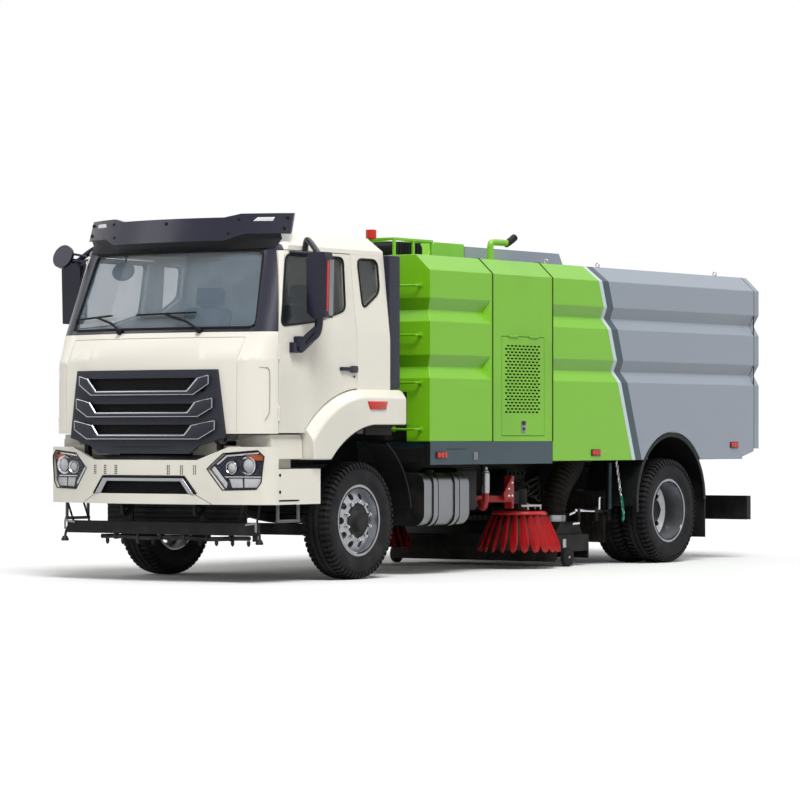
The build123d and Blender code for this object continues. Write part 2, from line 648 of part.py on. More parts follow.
bx, by = brush["x"], f(brush["y"])
motor = rod((bx, by, 545), (bx, by, 740), 70) + rod((bx, by, 490), (bx, by, 560), 22)
motor += block((bx - 40, bx + 40), (f(guide_y + 20) + fit, by - 40), (600, 720))
save("brush_motor_left", motor)
save("brush_motor_right", other_side(motor))

head = rod((bx, by, brush["disc_z"]), (bx, by, brush["disc_z"] + 34), brush["disc"])
head -= rod((bx, by, brush["disc_z"] - 5), (bx, by, brush["disc_z"] + 40), 22 + fit)
tuft = prism("front", -28, 28, (205, brush["disc_z"] + 10), (brush["tip"] - 75, brush["tip_z"]),
             (brush["tip"], brush["tip_z"]), (246, brush["disc_z"] + 10))
for i in range(brush["tufts"]):
    head += Pos(bx, by, 0) * Rot(0, 0, 360 * i / brush["tufts"]) * tuft
save("brush_left", head)
save("brush_right", other_side(head))


# Cab shell
def cab_face(row, inset):
    s = dict(zip(CAB, row))
    cx, cy = s["corner_x"] - 0.5 * inset, f(s["corner_y"] + 0.85 * inset)
    sx, sy = s["side_x"] - inset, f(s["side_y"] + 0.45 * inset)
    rear = f(s["rear"] - inset)
    turn = (cx + 0.72 * (sx - cx), cy + 0.42 * (sy - cy))
    top = s["z"] - (inset if row is cab_sections[-1] and inset > 0 else 0)
    face = outline("plan", (-sx, rear), (-sx, sy), ((-turn[0], turn[1]), (-cx, cy)),
                   ((0, f(s["front"] + inset)), (cx, cy)), (turn, (sx, sy)), (sx, rear))
    return Pos(0, 0, top) * face


def cab_solid(inset):
    return loft([cab_face(row, inset) for row in cab_sections], ruled=True)


outer = cab_solid(0)
inner = cab_solid(wall)
shell = outer - inner
screen_cut = prism("front", f(-1700), f(-960), *windscreen)
side_cuts = []
for shape in (door_window, quarter_window):
    side_cuts.append(prism("side", 900, 1300, *[(f(y), z) for y, z in shape]))
shell -= screen_cut
for cut in side_cuts:
    shell -= cut
    shell -= other_side(cut)

# Fenders on the cab
def fender_outline(grow, rear=-46):
    """Shoulder line of the fender, moved out by grow, from its foot to its rear end."""
    r = shoulder_radius + grow
    c = axle_height

    def on(radius, angle):
        return (f(-radius * cos(angle)), c + radius * sin(angle))

    return on(r, 0.76), on(r, 1.15), on(r, acos(-rear / r))


low, middle, top = fender_outline(0)
arch_way = (f(-arch_radius * 0.5), axle_height + arch_radius * 0.866)
fender = prism("side", fender_inner_x, half, (f(-800), 1030), low, (middle, top), (f(500), top[1]),
               ((f(575), top[1] - 25), (f(600), top[1] - 100)), (f(600), 1326), (f(60), 1326),
               (arch_way, (f(-560), 1030)))
shoulder = fender.edges().filter_by(lambda e: e.center().X > half - 1 and e.center().Z > 1340)
fender = chamfer([e for e in shoulder if e.center().Y > f(-830)], 70)
save("fenders", fender, other_side(fender))

line = [(f(-1800), cab_bottom), (f(door_front), cab_bottom), (f(door_front), belt_z),
        (f(door_front_top), roof_split), (f(-1800), roof_split)]
cab_front = shell & prism("side", -1400, 1400, *line)
seam = dict(x=(922, 928), z=(1262, 2056), wide=6, deep=8)
seam_skin = outer - cab_solid(seam["deep"])
seam_lines = block((-seam["x"][1], seam["x"][1]), (f(-1700), f(-1200)), seam["z"])
seam_lines -= block((-seam["x"][0], seam["x"][0]), (f(-1710), f(-1190)),
                    (seam["z"][0] - 10, seam["z"][1] - seam["wide"]))
cab_front -= seam_skin & seam_lines
cab_roof = shell & block((-1400, 1400), (f(-1800), f(800)), (roof_split, cab_top + 10))
cab_back = shell & block((-1400, 1400), (f(door_rear + shut_gap), f(800)), (cab_bottom, roof_split))
cab_floor = inner & block((-1095, 1095), (f(-1800), f(800)), (cab_bottom, floor_top))
for wing in (fender, other_side(fender)):
    cab_back -= wing
    cab_floor -= wing
for side in (1, -1):
    xs = sorted(side * v for v in pivot["cab_x"])
    py, pz = f(pivot["y"]), pivot["z"]
    ear = prism("side", *xs, (py - 20, cab_bottom), (py - pivot["radius"], pz),
                ((py, pz - pivot["radius"]), (py + pivot["radius"], pz)), (py + 60, cab_bottom))
    cab_floor += ear - rod((xs[0] - 5, py, pz), (xs[1] + 5, py, pz), pivot["pin"] + fit)

low, middle, top = fender_outline(shut_gap + 4, door_rear)
g = shut_gap
door_line = [(f(door_front + g), cab_bottom + g), (low[0], cab_bottom + g), (low[0], low[1])]
door = shell & prism("side", 900, 1400, *door_line, (middle, top), (f(door_rear), roof_split - g),
                     (f(door_front_top + g), roof_split - g), (f(door_front + g), belt_z))
for z in (1420, 1930):
    spot = (1166, f(door_front + g / 2), z)
    door, cab_front = hang(door, cab_front, spot, (0, 0, 1), 35, 28, 11, 5, mirrored=True)
save("cab_front", cab_front)
save("cab_roof", cab_roof)
save("cab_back", cab_back)
save("cab_floor", cab_floor)
save("door_left", door)
save("door_right", other_side(door))

# Glass, set in the middle of the wall
pane = cab_solid(18) - cab_solid(30)
screen = pane & screen_cut
door_pane = pane & side_cuts[0]
quarter = pane & side_cuts[1]
save("cab_glass", screen, quarter, other_side(quarter))
save("door_glass_left", door_pane)
save("door_glass_right", other_side(door_pane))

# Grille on the cab front with three slots
grille_shape = [(-756, 1785), (756, 1785), (837, 1215), (590, 1150), (500, 1082), (-500, 1082), (-590, 1150),
                (-837, 1215)]
grille = (cab_solid(-35) - outer) & prism("front", f(-1700), f(-1300), *grille_shape)
SLOT = ["low", "high", "low_half", "high_half"]
for row in ((1600, 1715, 640, 690), (1424, 1500, 600, 655), (1250, 1325, 560, 615)):
    s = dict(zip(SLOT, row))
    grille -= prism("front", f(-1700), f(-1300), (-s["low_half"], s["low"]), (s["low_half"], s["low"]),
                    (s["high_half"], s["high"]), (-s["high_half"], s["high"]))
lip_trim = block((-520, 520), (f(-1700), f(-1552)), (1000, 1145))
save("grille", grille - lip_trim)


# Sun visor over the windscreen
def visor_face(z, front, end_x, end_y):
    thick = 40
    back_x, back_y = end_x - 25, f(end_y + 50)
    face = outline("plan", (-end_x, f(end_y)), ((0, f(front)), (end_x, f(end_y))), (back_x, back_y),
                   ((0, f(front + thick)), (-back_x, back_y)))
    return Pos(0, 0, z) * face


visor_low = header_z + 38
visor = loft([visor_face(visor_low, -1300, 1105, -960), visor_face(visor_top, -1200, 1097, -885)], ruled=True)
end_low = visor_low + 57
brow = [(1110, end_low), (760, end_low), (600, visor_low), (-600, visor_low), (-760, end_low), (-1110, end_low),
        (-1110, visor_top), (-690, visor_top), (-553, visor_top - 30), (553, visor_top - 30), (690, visor_top),
        (1110, visor_top)]
visor &= prism("front", f(-1400), f(-700), *brow)
for x, y in ((-620, -1165), (0, -1255), (620, -1165)):
    visor += block((x - 30, x + 30), (f(y), f(-1000)), (header_z + 75, header_z + 95))
save("sun_visor", visor - outer)

# Air intake behind the cab's left rear edge
intake = block((1000, 1150), (f(cab_rear), f(580)), (1640, 2800))
save("air_intake", intake)

# Dashboard with steering wheel, and seats
dash_side = [(-1500, 1500), (-1180, 1500), (-1000, 1800), (-1000, 1960), (-1120, 2030), (-1500, 2060)]
dash = inner & prism("side", -1085, 1085, *[(f(y), z) for y, z in dash_side])
wheel_at = Vector(500, f(-760), 1985)
lean = Vector(0, -0.8, -0.6)
steering = Plane(wheel_at, z_dir=lean) * Torus(215, 16)
steering += rod(wheel_at, wheel_at + lean * 330, 35)
steering += Plane(wheel_at, z_dir=lean) * Box(420, 40, 14)
save("dashboard", dash + steering)
seats = []
for x in (-520, 520):
    seat = block((x - 250, x + 250), (f(-560), f(-80)), (floor_top + 330, floor_top + 460))
    seat += block((x - 200, x + 200), (f(-500), f(-120)), (floor_top, floor_top + 340))
    seat += prism("side", x - 240, x + 240, (f(-150), floor_top + 420), (f(-30), floor_top + 420),
                  (f(90), floor_top + 1080), (f(0), floor_top + 1080))
    seats.append(seat)
save("seats", *seats)


# Mirrors on the doors: a tapered housing on two arms, and a round one in front of the right-hand cab corner
mirror_shape = [(1246, 2262), (1310, 2208), (1440, 2216), (1452, 2700), (1425, 2764), (1262, 2764),
                (1238, 2700)]
mirror_y = (-905, -800)


def mirror_piece():
    housing = prism("front", f(mirror_y[0]), f(mirror_y[1]), *mirror_shape)
    foot = block((1150, 1212), (f(-1040), f(-925)), (1925, 2012))
    stem_x, stem_y = 1330, f(-855)
    arms = rod((1195, f(-980), 1985), (stem_x, stem_y, 2150), 22)
    arms += rod((stem_x, stem_y, 2140), (stem_x, stem_y, 2230), 22)
    arms += rod((stem_x, stem_y, 2750), (1075, f(-935), 2770), 14)
    return housing + foot + arms


looking = mirror_piece() - door
front_mirror = rod((-1300, f(-1070), 2800), (-1300, f(-1040), 2790), 105)
front_mirror += rod((-1300, f(-1055), 2795), (-1330, f(-850), 2745), 14)
save("mirror_left", looking)
save("mirror_right", other_side(looking) + front_mirror)
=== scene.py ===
"""Looks of the street sweeper truck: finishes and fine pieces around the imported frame. Metres, -Y is the front."""
import json
from math import atan2, cos, hypot, pi, radians, sin

import bpy
from mathutils import Matrix, Vector

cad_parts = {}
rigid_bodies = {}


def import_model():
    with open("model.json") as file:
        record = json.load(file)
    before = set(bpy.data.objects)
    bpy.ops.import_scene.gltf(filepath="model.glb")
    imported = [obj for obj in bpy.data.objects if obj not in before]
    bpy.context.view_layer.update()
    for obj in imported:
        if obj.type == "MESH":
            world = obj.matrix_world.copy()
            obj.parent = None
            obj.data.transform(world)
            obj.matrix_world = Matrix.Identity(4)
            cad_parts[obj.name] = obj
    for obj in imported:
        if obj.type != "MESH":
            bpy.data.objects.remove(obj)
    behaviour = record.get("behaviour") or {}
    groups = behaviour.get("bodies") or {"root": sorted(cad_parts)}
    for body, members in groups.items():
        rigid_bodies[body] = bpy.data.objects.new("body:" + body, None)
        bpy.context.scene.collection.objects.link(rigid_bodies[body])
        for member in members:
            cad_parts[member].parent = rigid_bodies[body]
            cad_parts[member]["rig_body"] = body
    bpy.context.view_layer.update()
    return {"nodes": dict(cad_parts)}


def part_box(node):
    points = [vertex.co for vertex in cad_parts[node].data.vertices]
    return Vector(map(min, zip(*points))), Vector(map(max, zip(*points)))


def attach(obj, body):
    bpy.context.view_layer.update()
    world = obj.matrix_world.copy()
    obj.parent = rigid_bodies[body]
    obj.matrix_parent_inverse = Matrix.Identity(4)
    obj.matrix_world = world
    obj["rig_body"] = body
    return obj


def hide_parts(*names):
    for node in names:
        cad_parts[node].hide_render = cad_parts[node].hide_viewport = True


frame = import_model()


def middle(node):
    """Centre of a node's box."""
    low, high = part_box(node)
    return (low + high) / 2


# Places that many pieces share
FRONT_AXLE = middle("tyre_front_left").y
REAR_AXLE = middle("tyres_rear_left").y
AXLE_Z = middle("tyre_front_left").z
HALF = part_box("hopper_sides")[1].x
BODY_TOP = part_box("water_tank")[1].z
SIDES = (("left", 1), ("right", -1))


def at(distance):
    """Y of a place this far behind the front axle."""
    return FRONT_AXLE + distance


class Wire:
    """One socket of a material. Sums and products of wires add Math nodes."""

    def __init__(self, tree, socket=None):
        self.tree = tree
        self.socket = socket

    def add(self, kind, settings=None, inputs=None, out=0):
        """Adds any node: its settings are set first, then the values or wires of its sockets."""
        node = self.tree.nodes.new(kind)
        for name, value in (settings or {}).items():
            setattr(node, name, value)
        for name, value in (inputs or {}).items():
            if isinstance(value, Wire):
                self.tree.links.new(value.socket, node.inputs[name])
            else:
                node.inputs[name].default_value = value
        return Wire(self.tree, node.outputs[out])

    def maths(self, operation, *values):
        return self.add("ShaderNodeMath", {"operation": operation}, dict(enumerate(values)))

    def __add__(self, other):
        return self.maths("ADD", self, other)

    def __sub__(self, other):
        return self.maths("SUBTRACT", self, other)

    def __rsub__(self, other):
        return self.maths("SUBTRACT", other, self)

    def __mul__(self, other):
        return self.maths("MULTIPLY", self, other)

    def __gt__(self, other):
        return self.maths("GREATER_THAN", self, other)

    def __lt__(self, other):
        return self.maths("LESS_THAN", self, other)

    __radd__ = __add__
    __rmul__ = __mul__

    def ramp(self, low, high):
        """Runs from 0 at low to 1 at high, and stays there."""
        settings = {"interpolation_type": "SMOOTHSTEP"}
        return self.add("ShaderNodeMapRange", settings, {"Value": self, "From Min": low, "From Max": high})

    def tint(self, low, high):
        """Mixes two colours, low where the wire is 0 and high where it is 1."""
        return self.add("ShaderNodeMix", {"data_type": "RGBA"}, {0: self, 6: low, 7: high}, out=2)

    def place(self, scale=None):
        """Place on the object, stretched by a scale if there is one."""
        where = self.add("ShaderNodeTexCoord", out="Object")
        return self.add("ShaderNodeMapping", None, {"Vector": where, "Scale": scale}) if scale else where

    def axis(self, name):
        return self.add("ShaderNodeSeparateXYZ", None, {0: self.place()}, out=name)

    def noise(self, scale, detail=3.0, stretch=None):
        return self.add("ShaderNodeTexNoise", None, {"Vector": self.place(stretch), "Scale": scale, "Detail": detail})

    def bump(self, height, strength, depth):
        inputs = {"Strength": strength, "Distance": depth, "Height": height}
        return self.add("ShaderNodeBump", None, inputs)


def rgb(red, green, blue):
    """A colour written as it looks on the screen, 0 to 255."""
    linear = [c / 255 / 12.92 if c < 11 else ((c / 255 + 0.055) / 1.055) ** 2.4 for c in (red, green, blue)]
    return (*linear, 1)


def finish(name, sockets=None):
    """New material with constant sockets set; returns it with a loose wire for its nodes."""
    material = bpy.data.materials.new(name)
    material.use_nodes = True
    shader = material.node_tree.nodes["Principled BSDF"]
    for socket, value in (sockets or {}).items():
        shader.inputs[socket].default_value = value
    return material, Wire(material.node_tree)


def feed(material, **wires):
    """Links wires to the shader's sockets, written with _ for a space."""
    shader = material.node_tree.nodes["Principled BSDF"]
    for name, wire in wires.items():
        material.node_tree.links.new(wire.socket, shader.inputs[name.replace("_", " ")])
    return material


DUST = rgb(150, 143, 130)
DUST_FULL, DUST_END = 0.25, 1.5  # heights at which road dust is thickest and gone


def weathered(wire, colour, dirt):
    """Colour that drifts slightly over the panel, and road dust that thickens towards the ground."""
    if not isinstance(colour, Wire):
        dark = tuple(0.9 * c for c in colour[:3]) + (1,)
        colour = wire.noise(1.3, 4.0).ramp(0.35, 0.65).tint(colour, dark)
    height = 1 - wire.axis("Z").ramp(DUST_FULL, DUST_END)
    dust = height * wire.noise(6.0, 6.0).ramp(0.35, 0.75) * dirt
    return dust.tint(colour, DUST), dust


def paint(name, colour, dirt=0.08, rough=0.28, coat=0.25, zones=None, shine=0.35):
    """Gloss paint with a clear coat, faint orange peel and dust low down. Zones recolour parts of it."""
    material, wire = finish(name, {"Coat Roughness": 0.06, "Specular IOR Level": shine})
    base, dust = weathered(wire, zones(wire, colour) if zones else colour, dirt)
    return feed(material, Base_Color=base, Roughness=rough + 0.4 * dust + 0.06 * wire.noise(9.0),
                Coat_Weight=coat * (1 - dust), Normal=wire.bump(wire.noise(220.0, 1.0), 0.05, 0.001))


def plastic(name, colour, rough=0.45, grain=900.0, dirt=0.05, shine=0.2):
    """Moulded plastic or rubber with a fine pebbled grain."""
    material, wire = finish(name, {"Specular IOR Level": shine})
    base, dust = weathered(wire, colour, dirt)
    return feed(material, Base_Color=base, Roughness=rough + 0.3 * dust + 0.1 * wire.noise(14.0),
                Normal=wire.bump(wire.noise(grain, 2.0), 0.25, 0.0006))


def metal(name, colour, rough, stretch=None, scale=60.0, dirt=0.08):
    """Bare or plated metal; a stretch brushes it along one way."""
    material, wire = finish(name, {"Metallic": 1.0})
    base, dust = weathered(wire, colour, dirt)
    grain = wire.noise(scale, 4.0, stretch)
    return feed(material, Base_Color=base, Metallic=1 - dust, Roughness=rough + 0.25 * (grain - 0.5) + 0.4 * dust,
                Normal=wire.bump(grain, 0.08, 0.0005))


def glass(name, colour, see):
    """Tinted pane: a dark reflecting sheet that lets part of the inside through, with a film of dust."""
    material, wire = finish(name, {"IOR": 1.5, "Coat Weight": 0.3, "Coat Roughness": 0.02})
    film = wire.noise(5.0, 6.0).ramp(0.4, 0.9)
    return feed(material, Base_Color=(0.15 * film).tint(colour, rgb(140, 140, 136)), Roughness=0.03 + 0.05 * film,
                Alpha=1 - see + 0.08 * film)


def lens(name, colour):
    """Moulded lamp lens with fine prisms."""
    material, wire = finish(name, {"Coat Weight": 0.3, "Coat Roughness": 0.03, "Specular IOR Level": 0.3})
    waves = wire.add("ShaderNodeTexWave", {"bands_direction": "Z"}, {"Vector": wire.place(), "Scale": 60.0})
    deep = tuple(0.55 * c for c in colour[:3]) + (1,)
    return feed(material, Base_Color=waves.tint(colour, deep), Roughness=0.12 + 0.1 * waves,
                Normal=wire.bump(waves, 0.4, 0.001))


CREAM = rgb(229, 225, 213)
GREEN = rgb(118, 187, 22)
GREY = rgb(138, 147, 159)
SLATE = rgb(34, 60, 71)
NAVY = rgb(22, 24, 44)
SHADE = rgb(15, 16, 18)
STRIPE_SLOPE, PALE_FROM, SLATE_FROM, GREY_FROM = 0.354, 2.054, 2.112, 2.226
COWL, LOOP_TOP, FENDER_EDGE, SHADED_FRONT_TOP, BODY_FOOT = 2.098, 0.655, 1.335, 1.62, 1.182  # heights


def hopper_zones(wire, colour):
    """Green in front, then a pale and a slate stripe on one slanted line, then grey."""
    slant = wire.axis("Y") + STRIPE_SLOPE * wire.axis("Z")
    shade = (slant > PALE_FROM).tint(colour, rgb(194, 208, 214))
    shade = (slant > SLATE_FROM).tint(shade, SLATE)
    return (slant > GREY_FROM).tint(shade, GREY)


def screen_zones(wire, colour):
    """Dark pillars and cowl around the windscreen."""
    return (wire.axis("Z") > COWL).tint(colour, NAVY)


def step_zones(wire, colour):
    """The loops below the steps are bare steel."""
    return (wire.axis("Z") < LOOP_TOP).tint(colour, rgb(74, 76, 80))


def back_zones(wire, colour):
    """Painted shade: near-black below the fender's edge, where the fender shades the cab's back."""
    return (wire.axis("Z") < FENDER_EDGE).tint(colour, SHADE)


def tank_zones(wire, colour):
    """Painted shade: near-black low on the tank's front, where it stands in the cab's shadow."""
    front = (wire.axis("Y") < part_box("water_tank")[0].y + 0.012) * (wire.axis("Z") < SHADED_FRONT_TOP)
    return (front * (wire.maths("ABSOLUTE", wire.axis("X")) < 1.0)).tint(colour, SHADE)


def roof_zones(wire, colour):
    """Painted shade: the roof's header behind the sun visor is navy for the visor's shadow on it."""
    return (wire.axis("Y") < at(-0.985)).tint(colour, NAVY)


cab_paint = paint("cab_cream", CREAM)
roof_paint = paint("cab_roof_cream", CREAM, zones=roof_zones)
front_paint = paint("cab_front_cream", CREAM, zones=screen_zones)
back_paint = paint("cab_back_cream", CREAM, zones=back_zones)
# Darker cream for the corner seam: painted shade in the seam's recess.
seam_painted_shade = paint("seam_painted_shade", rgb(176, 172, 160))
step_paint = paint("step_cream", CREAM, zones=step_zones)
green_paint = paint("body_green", GREEN)
tank_paint = paint("tank_green", GREEN, zones=tank_zones)
grey_paint = paint("body_grey", GREY)
hopper_paint = paint("hopper_paint", GREEN, zones=hopper_zones)
slate_paint = paint("skirt_slate", SLATE, rough=0.4)
red_paint = paint("gear_red", rgb(190, 26, 22))
chassis_black = paint("chassis_black", SHADE, dirt=0.06, rough=0.5, coat=0.0, shine=0.2)
black_plastic = plastic("trim_black", rgb(17, 18, 22))
grille_grey = plastic("grille_grey", rgb(47, 48, 57), rough=0.4)
seal_rubber = plastic("seal_rubber", rgb(11, 11, 12), rough=0.6)
gloss_black = plastic("visor_navy", NAVY, rough=0.2, grain=120.0, shine=0.35)
cab_inside = plastic("cab_inside", rgb(82, 84, 88), rough=0.6)
tyre_rubber = plastic("tyre_rubber", rgb(16, 17, 21), rough=0.62, grain=260.0, dirt=0.06)
hose_rubber = plastic("hose_rubber", rgb(30, 25, 23), rough=0.6, grain=200.0, dirt=0.08)
aluminium = metal("tank_aluminium", rgb(134, 135, 139), rough=0.34, stretch=(1, 0.04, 1), scale=160.0, dirt=0.03)
rim_steel = metal("rim_steel", rgb(172, 174, 178), rough=0.36)
iron = metal("cast_iron", rgb(40, 40, 43), rough=0.55, dirt=0.1)
chrome = metal("chrome", rgb(215, 217, 221), rough=0.1, scale=8.0, dirt=0.0)
bright_trim = metal("bright_trim", rgb(158, 160, 166), rough=0.22, scale=90.0, dirt=0.0)
window_glass = glass("window_glass", rgb(16, 36, 46), see=0.62)
# The windscreen's pale blue-grey colour is partly painted reflection of the sky.
screen_glass = glass("screen_glass", rgb(146, 168, 186), see=0.82)
clear_glass = glass("lamp_glass", rgb(40, 42, 46), see=0.94)
amber = lens("amber_lens", rgb(240, 110, 10))
ruby = lens("ruby_lens", rgb(226, 36, 14))
milky = lens("clear_lens", rgb(235, 236, 238))
sleeve_green = plastic("sleeve_green", rgb(22, 120, 88), rough=0.6, grain=400.0, dirt=0.1)


def cloth():
    """Woven seat fabric: fine crossing threads on a dark ground, worn paler in patches."""
    material, wire = finish("seat_cloth", {"Sheen Weight": 0.3})
    threads = [wire.add("ShaderNodeTexWave", {"bands_direction": way}, {"Vector": wire.place(), "Scale": 90.0})
               for way in "XZ"]
    weave = threads[0] * threads[1]
    colour = weave.tint(rgb(52, 54, 60), rgb(78, 80, 86))
    colour = (0.3 * wire.noise(7.0).ramp(0.45, 0.7)).tint(colour, rgb(104, 104, 106))
    return feed(material, Base_Color=colour, Roughness=0.8 + 0.15 * weave, Normal=wire.bump(weave, 0.4, 0.001))


seat_cloth = cloth()


# Modelling moves
def clear_selection():
    """Leaves edit mode and selects nothing."""
    if bpy.context.object and bpy.context.object.mode == "EDIT":
        bpy.ops.object.mode_set(mode="OBJECT")
    bpy.ops.object.select_all(action="DESELECT")


def take(obj):
    """Makes obj the only selected object."""
    clear_selection()
    obj.select_set(True)
    bpy.context.view_layer.objects.active = obj
    return obj


def start(kind, **settings):
    """Adds a primitive with nothing else selected and gives the new object."""
    clear_selection()
    getattr(bpy.ops.mesh, f"primitive_{kind}_add")(**settings)
    return bpy.context.object


def apply(obj, kind, **settings):
    """Adds a modifier to obj and applies it."""
    take(obj)
    modifier = obj.modifiers.new(kind.lower(), kind)
    for name, value in settings.items():
        setattr(modifier, name, value)
    bpy.ops.object.modifier_apply(modifier=modifier.name)
    return obj


def edit(obj, *steps):
    """Runs edit-mode steps, each an operator's name and settings, on the whole mesh."""
    take(obj)
    bpy.ops.object.mode_set(mode="EDIT")
    bpy.ops.mesh.select_all(action="SELECT")
    for name, settings in steps:
        getattr(bpy.ops.mesh, name)(**settings)
    bpy.ops.object.mode_set(mode="OBJECT")
    return obj


WELD = ("remove_doubles", {"threshold": 0.0001})
OUTWARD = ("normals_make_consistent", {"inside": False})
VIEWS = {"side": lambda u, v, w: (w, u, v), "front": lambda u, v, w: (u, w, v), "plan": lambda u, v, w: (u, v, w)}


def rounded(obj, width):
    """Soft edges wherever faces meet at more than a slight angle."""
    return apply(obj, "BEVEL", width=width, segments=2, limit_method="ANGLE", angle_limit=radians(28))


def slab(view, outline, low, high, edge=0.0):
    """Plate: a ring of points moved to its outline, filled and pulled from low to high."""
    obj = start("circle", vertices=len(outline), fill_type="NGON")
    for vertex, (u, v) in zip(obj.data.vertices, outline):
        vertex.co = VIEWS[view](u, v, low)
    pull = {"value": VIEWS[view](0, 0, high - low)}
    edit(obj, ("extrude_region_move", {"TRANSFORM_OT_translate": pull}))
    edit(obj, OUTWARD)
    return rounded(obj, edge) if edge else obj


def brick(x, y, z, edge=0.004):
    """Block with soft edges between limits on each axis, y given as distances behind the front axle."""
    y = [at(distance) for distance in y]
    return slab("plan", [(x[0], y[0]), (x[1], y[0]), (x[1], y[1]), (x[0], y[1])], *z, edge)


def side_plate(points, low, high, edge=0.0):
    """Plate in the side view, its points given as distances behind the front axle and heights."""
    return slab("side", [(at(y), z) for y, z in points], low, high, edge)


def front_plate(points, low, high, edge):
    """Plate in the front view between two distances behind the front axle."""
    return slab("front", points, at(low), at(high), edge)


def oblong(u, v, half_u, half_v):
    """Corners of a rectangle about its middle."""
    return [(u + a * half_u, v + b * half_v) for a, b in ((-1, -1), (1, -1), (1, 1), (-1, 1))]


def tube(points, radius, straight=False, closed=False, sides=3):
    """Pipe along a smooth or straight path, made a mesh."""
    clear_selection()
    bpy.ops.curve.primitive_nurbs_path_add()
    obj = bpy.context.object
    curve = obj.data
    curve.splines.clear()
    line = curve.splines.new("POLY" if straight else "NURBS")
    line.points.add(len(points) - 1)
    for point, place in zip(line.points, points):
        point.co = (*place, 1)
    line.use_cyclic_u = closed
    line.use_endpoint_u = not closed
    line.order_u = 3
    line.resolution_u = 6
    curve.bevel_depth = radius
    curve.bevel_resolution = sides
    curve.use_fill_caps = True
    bpy.ops.object.convert(target="MESH")
    return edit(bpy.context.object, WELD, OUTWARD)


def route(points, radius, **settings):
    """Pipe through places given as x, distance behind the front axle and height."""
    return tube([(x, at(y), z) for x, y, z in points], radius, **settings)


def full_turn(count):
    """Angles of one turn at even steps."""
    return [2 * pi * i / count for i in range(count)]


def lathe(profile, centre, axis, steps):
    """Closed profile of (across, radius) spun about the axis through centre."""
    obj = start("circle", vertices=len(profile), fill_type="NOTHING")
    way = {"X": (1, 0, 0), "Y": (0, 1, 0), "Z": (0, 0, 1)}[axis]
    out = (1, 0, 0) if axis == "Z" else (0, 0, 1)
    for vertex, (across, radius) in zip(obj.data.vertices, profile):
        vertex.co = Vector(centre) + Vector(way) * across + Vector(out) * radius
    edit(obj, ("spin", {"steps": steps, "angle": 2 * pi, "center": centre, "axis": way}))
    return edit(obj, WELD, OUTWARD)


def sheet(rows, thick=0.0, loop=False):
    """Surface through rows of points: a grid moved to them, then given its thickness."""
    obj = start("grid", x_subdivisions=len(rows[0]) - 1, y_subdivisions=len(rows) - 1)
    for vertex, place in zip(obj.data.vertices, [p for row in rows for p in row]):
        vertex.co = place
    if loop:
        edit(obj, WELD)
    edit(obj, OUTWARD)
    return apply(obj, "SOLIDIFY", thickness=thick, offset=0) if thick else obj


def repeat(obj, moves):
    """One copy of a piece for each move, joined to a single mesh."""
    twins = []
    for move in moves:
        twin = obj.copy()
        twin.data = obj.data.copy()
        twin.data.transform(move)
        bpy.context.scene.collection.objects.link(twin)
        twins.append(twin)
    bpy.data.objects.remove(obj)
    return join(twins)


def row_of(obj, step, count):
    """Copies of a piece at even steps, joined."""
    return repeat(obj, [Matrix.Translation(Vector(step) * i) for i in range(count)])


def spread(obj, places):
    """Copies of a piece at each place, joined."""
    return repeat(obj, [Matrix.Translation(place) for place in places])


def join(pieces):
    """Makes several pieces one mesh."""
    take(pieces[0])
    for piece in pieces:
        piece.select_set(True)
    bpy.ops.object.join()
    return bpy.context.object


def mirrored(obj):
    """Copy of a piece on the truck's other side."""
    twin = obj.copy()
    twin.data = obj.data.copy()
    twin.data.transform(Matrix.Scale(-1, 4, (1, 0, 0)))
    bpy.context.scene.collection.objects.link(twin)
    return edit(twin, ("flip_normals", {}))


def done(obj, name, body, material, smooth=30):
    """Names a finished piece, settles its place in its mesh, shades it and lets it ride."""
    take(obj)
    bpy.ops.object.transform_apply(location=True, rotation=True, scale=True)
    bpy.ops.object.shade_smooth_by_angle(angle=radians(smooth))
    obj.name = name
    obj.data.materials.clear()
    obj.data.materials.append(material)
    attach(obj, body)
    return obj


def pair(obj, name, body, material, smooth=30, node=None):
    """Finishes a left-hand piece and its twin; {} in a body or in a node that they replace stands for the side."""
    for (side, _), piece in zip(SIDES, (obj, mirrored(obj))):
        done(piece, f"{name}_{side}", body.format(side), material, smooth)
        if node:
            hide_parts(node.format(side))


def recolour(obj, material, test):
    """Faces whose middle passes the test take another material."""
    obj.data.materials.append(material)
    for face in obj.data.polygons:
        if test(face.center):
            face.material_index = len(obj.data.materials) - 1


def dress(node, material, edge):
    """Welded copy of a CAD node with soft edges, standing in for it."""
    source = frame["nodes"][node]
    obj = bpy.data.objects.new(node + "_skin", source.data.copy())
    bpy.context.scene.collection.objects.link(obj)
    edit(obj, WELD, ("dissolve_limited", {"angle_limit": radians(1)}))
    if edge:
        rounded(obj, edge)
    done(obj, node + "_skin", source["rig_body"], material)
    apply(obj, "WEIGHTED_NORMAL", keep_sharp=True)
    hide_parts(node)
    return obj


# Curves of the cab and bumper that trim follows
CAB = [(1.040, -1.535, 0.934, -1.450), (1.850, -1.530, 0.934, -1.440), (2.070, -1.440, 0.945, -1.310),
       (2.830, -1.170, 0.900, -1.030), (2.945, -0.960, 0.790, -0.880)]


def cab_y(x, z):
    """Y of the cab's front at a place in the front view."""
    for low, high in zip(CAB, CAB[1:]):
        if z <= high[0] or high is CAB[-1]:
            break
    share = (z - low[0]) / (high[0] - low[0])
    front, corner_x, corner_y = (a + (b - a) * share for a, b in zip(low[1:], high[1:]))
    return at(front + (corner_y - front) * (x / corner_x) ** 2)


def side_x(z):
    """X of the cab's left side at a height."""
    return 1.165 - 0.08 * max(0, z - 2.07) / 0.76


def bumper_y(x):
    """Y of the bumper's front."""
    if abs(x) < 1.127:
        return at(-1.566 + 0.194 * (x / 1.127) ** 2)
    return at(-1.372 + 0.122 * ((abs(x) - 1.127) / 0.088) ** 2)


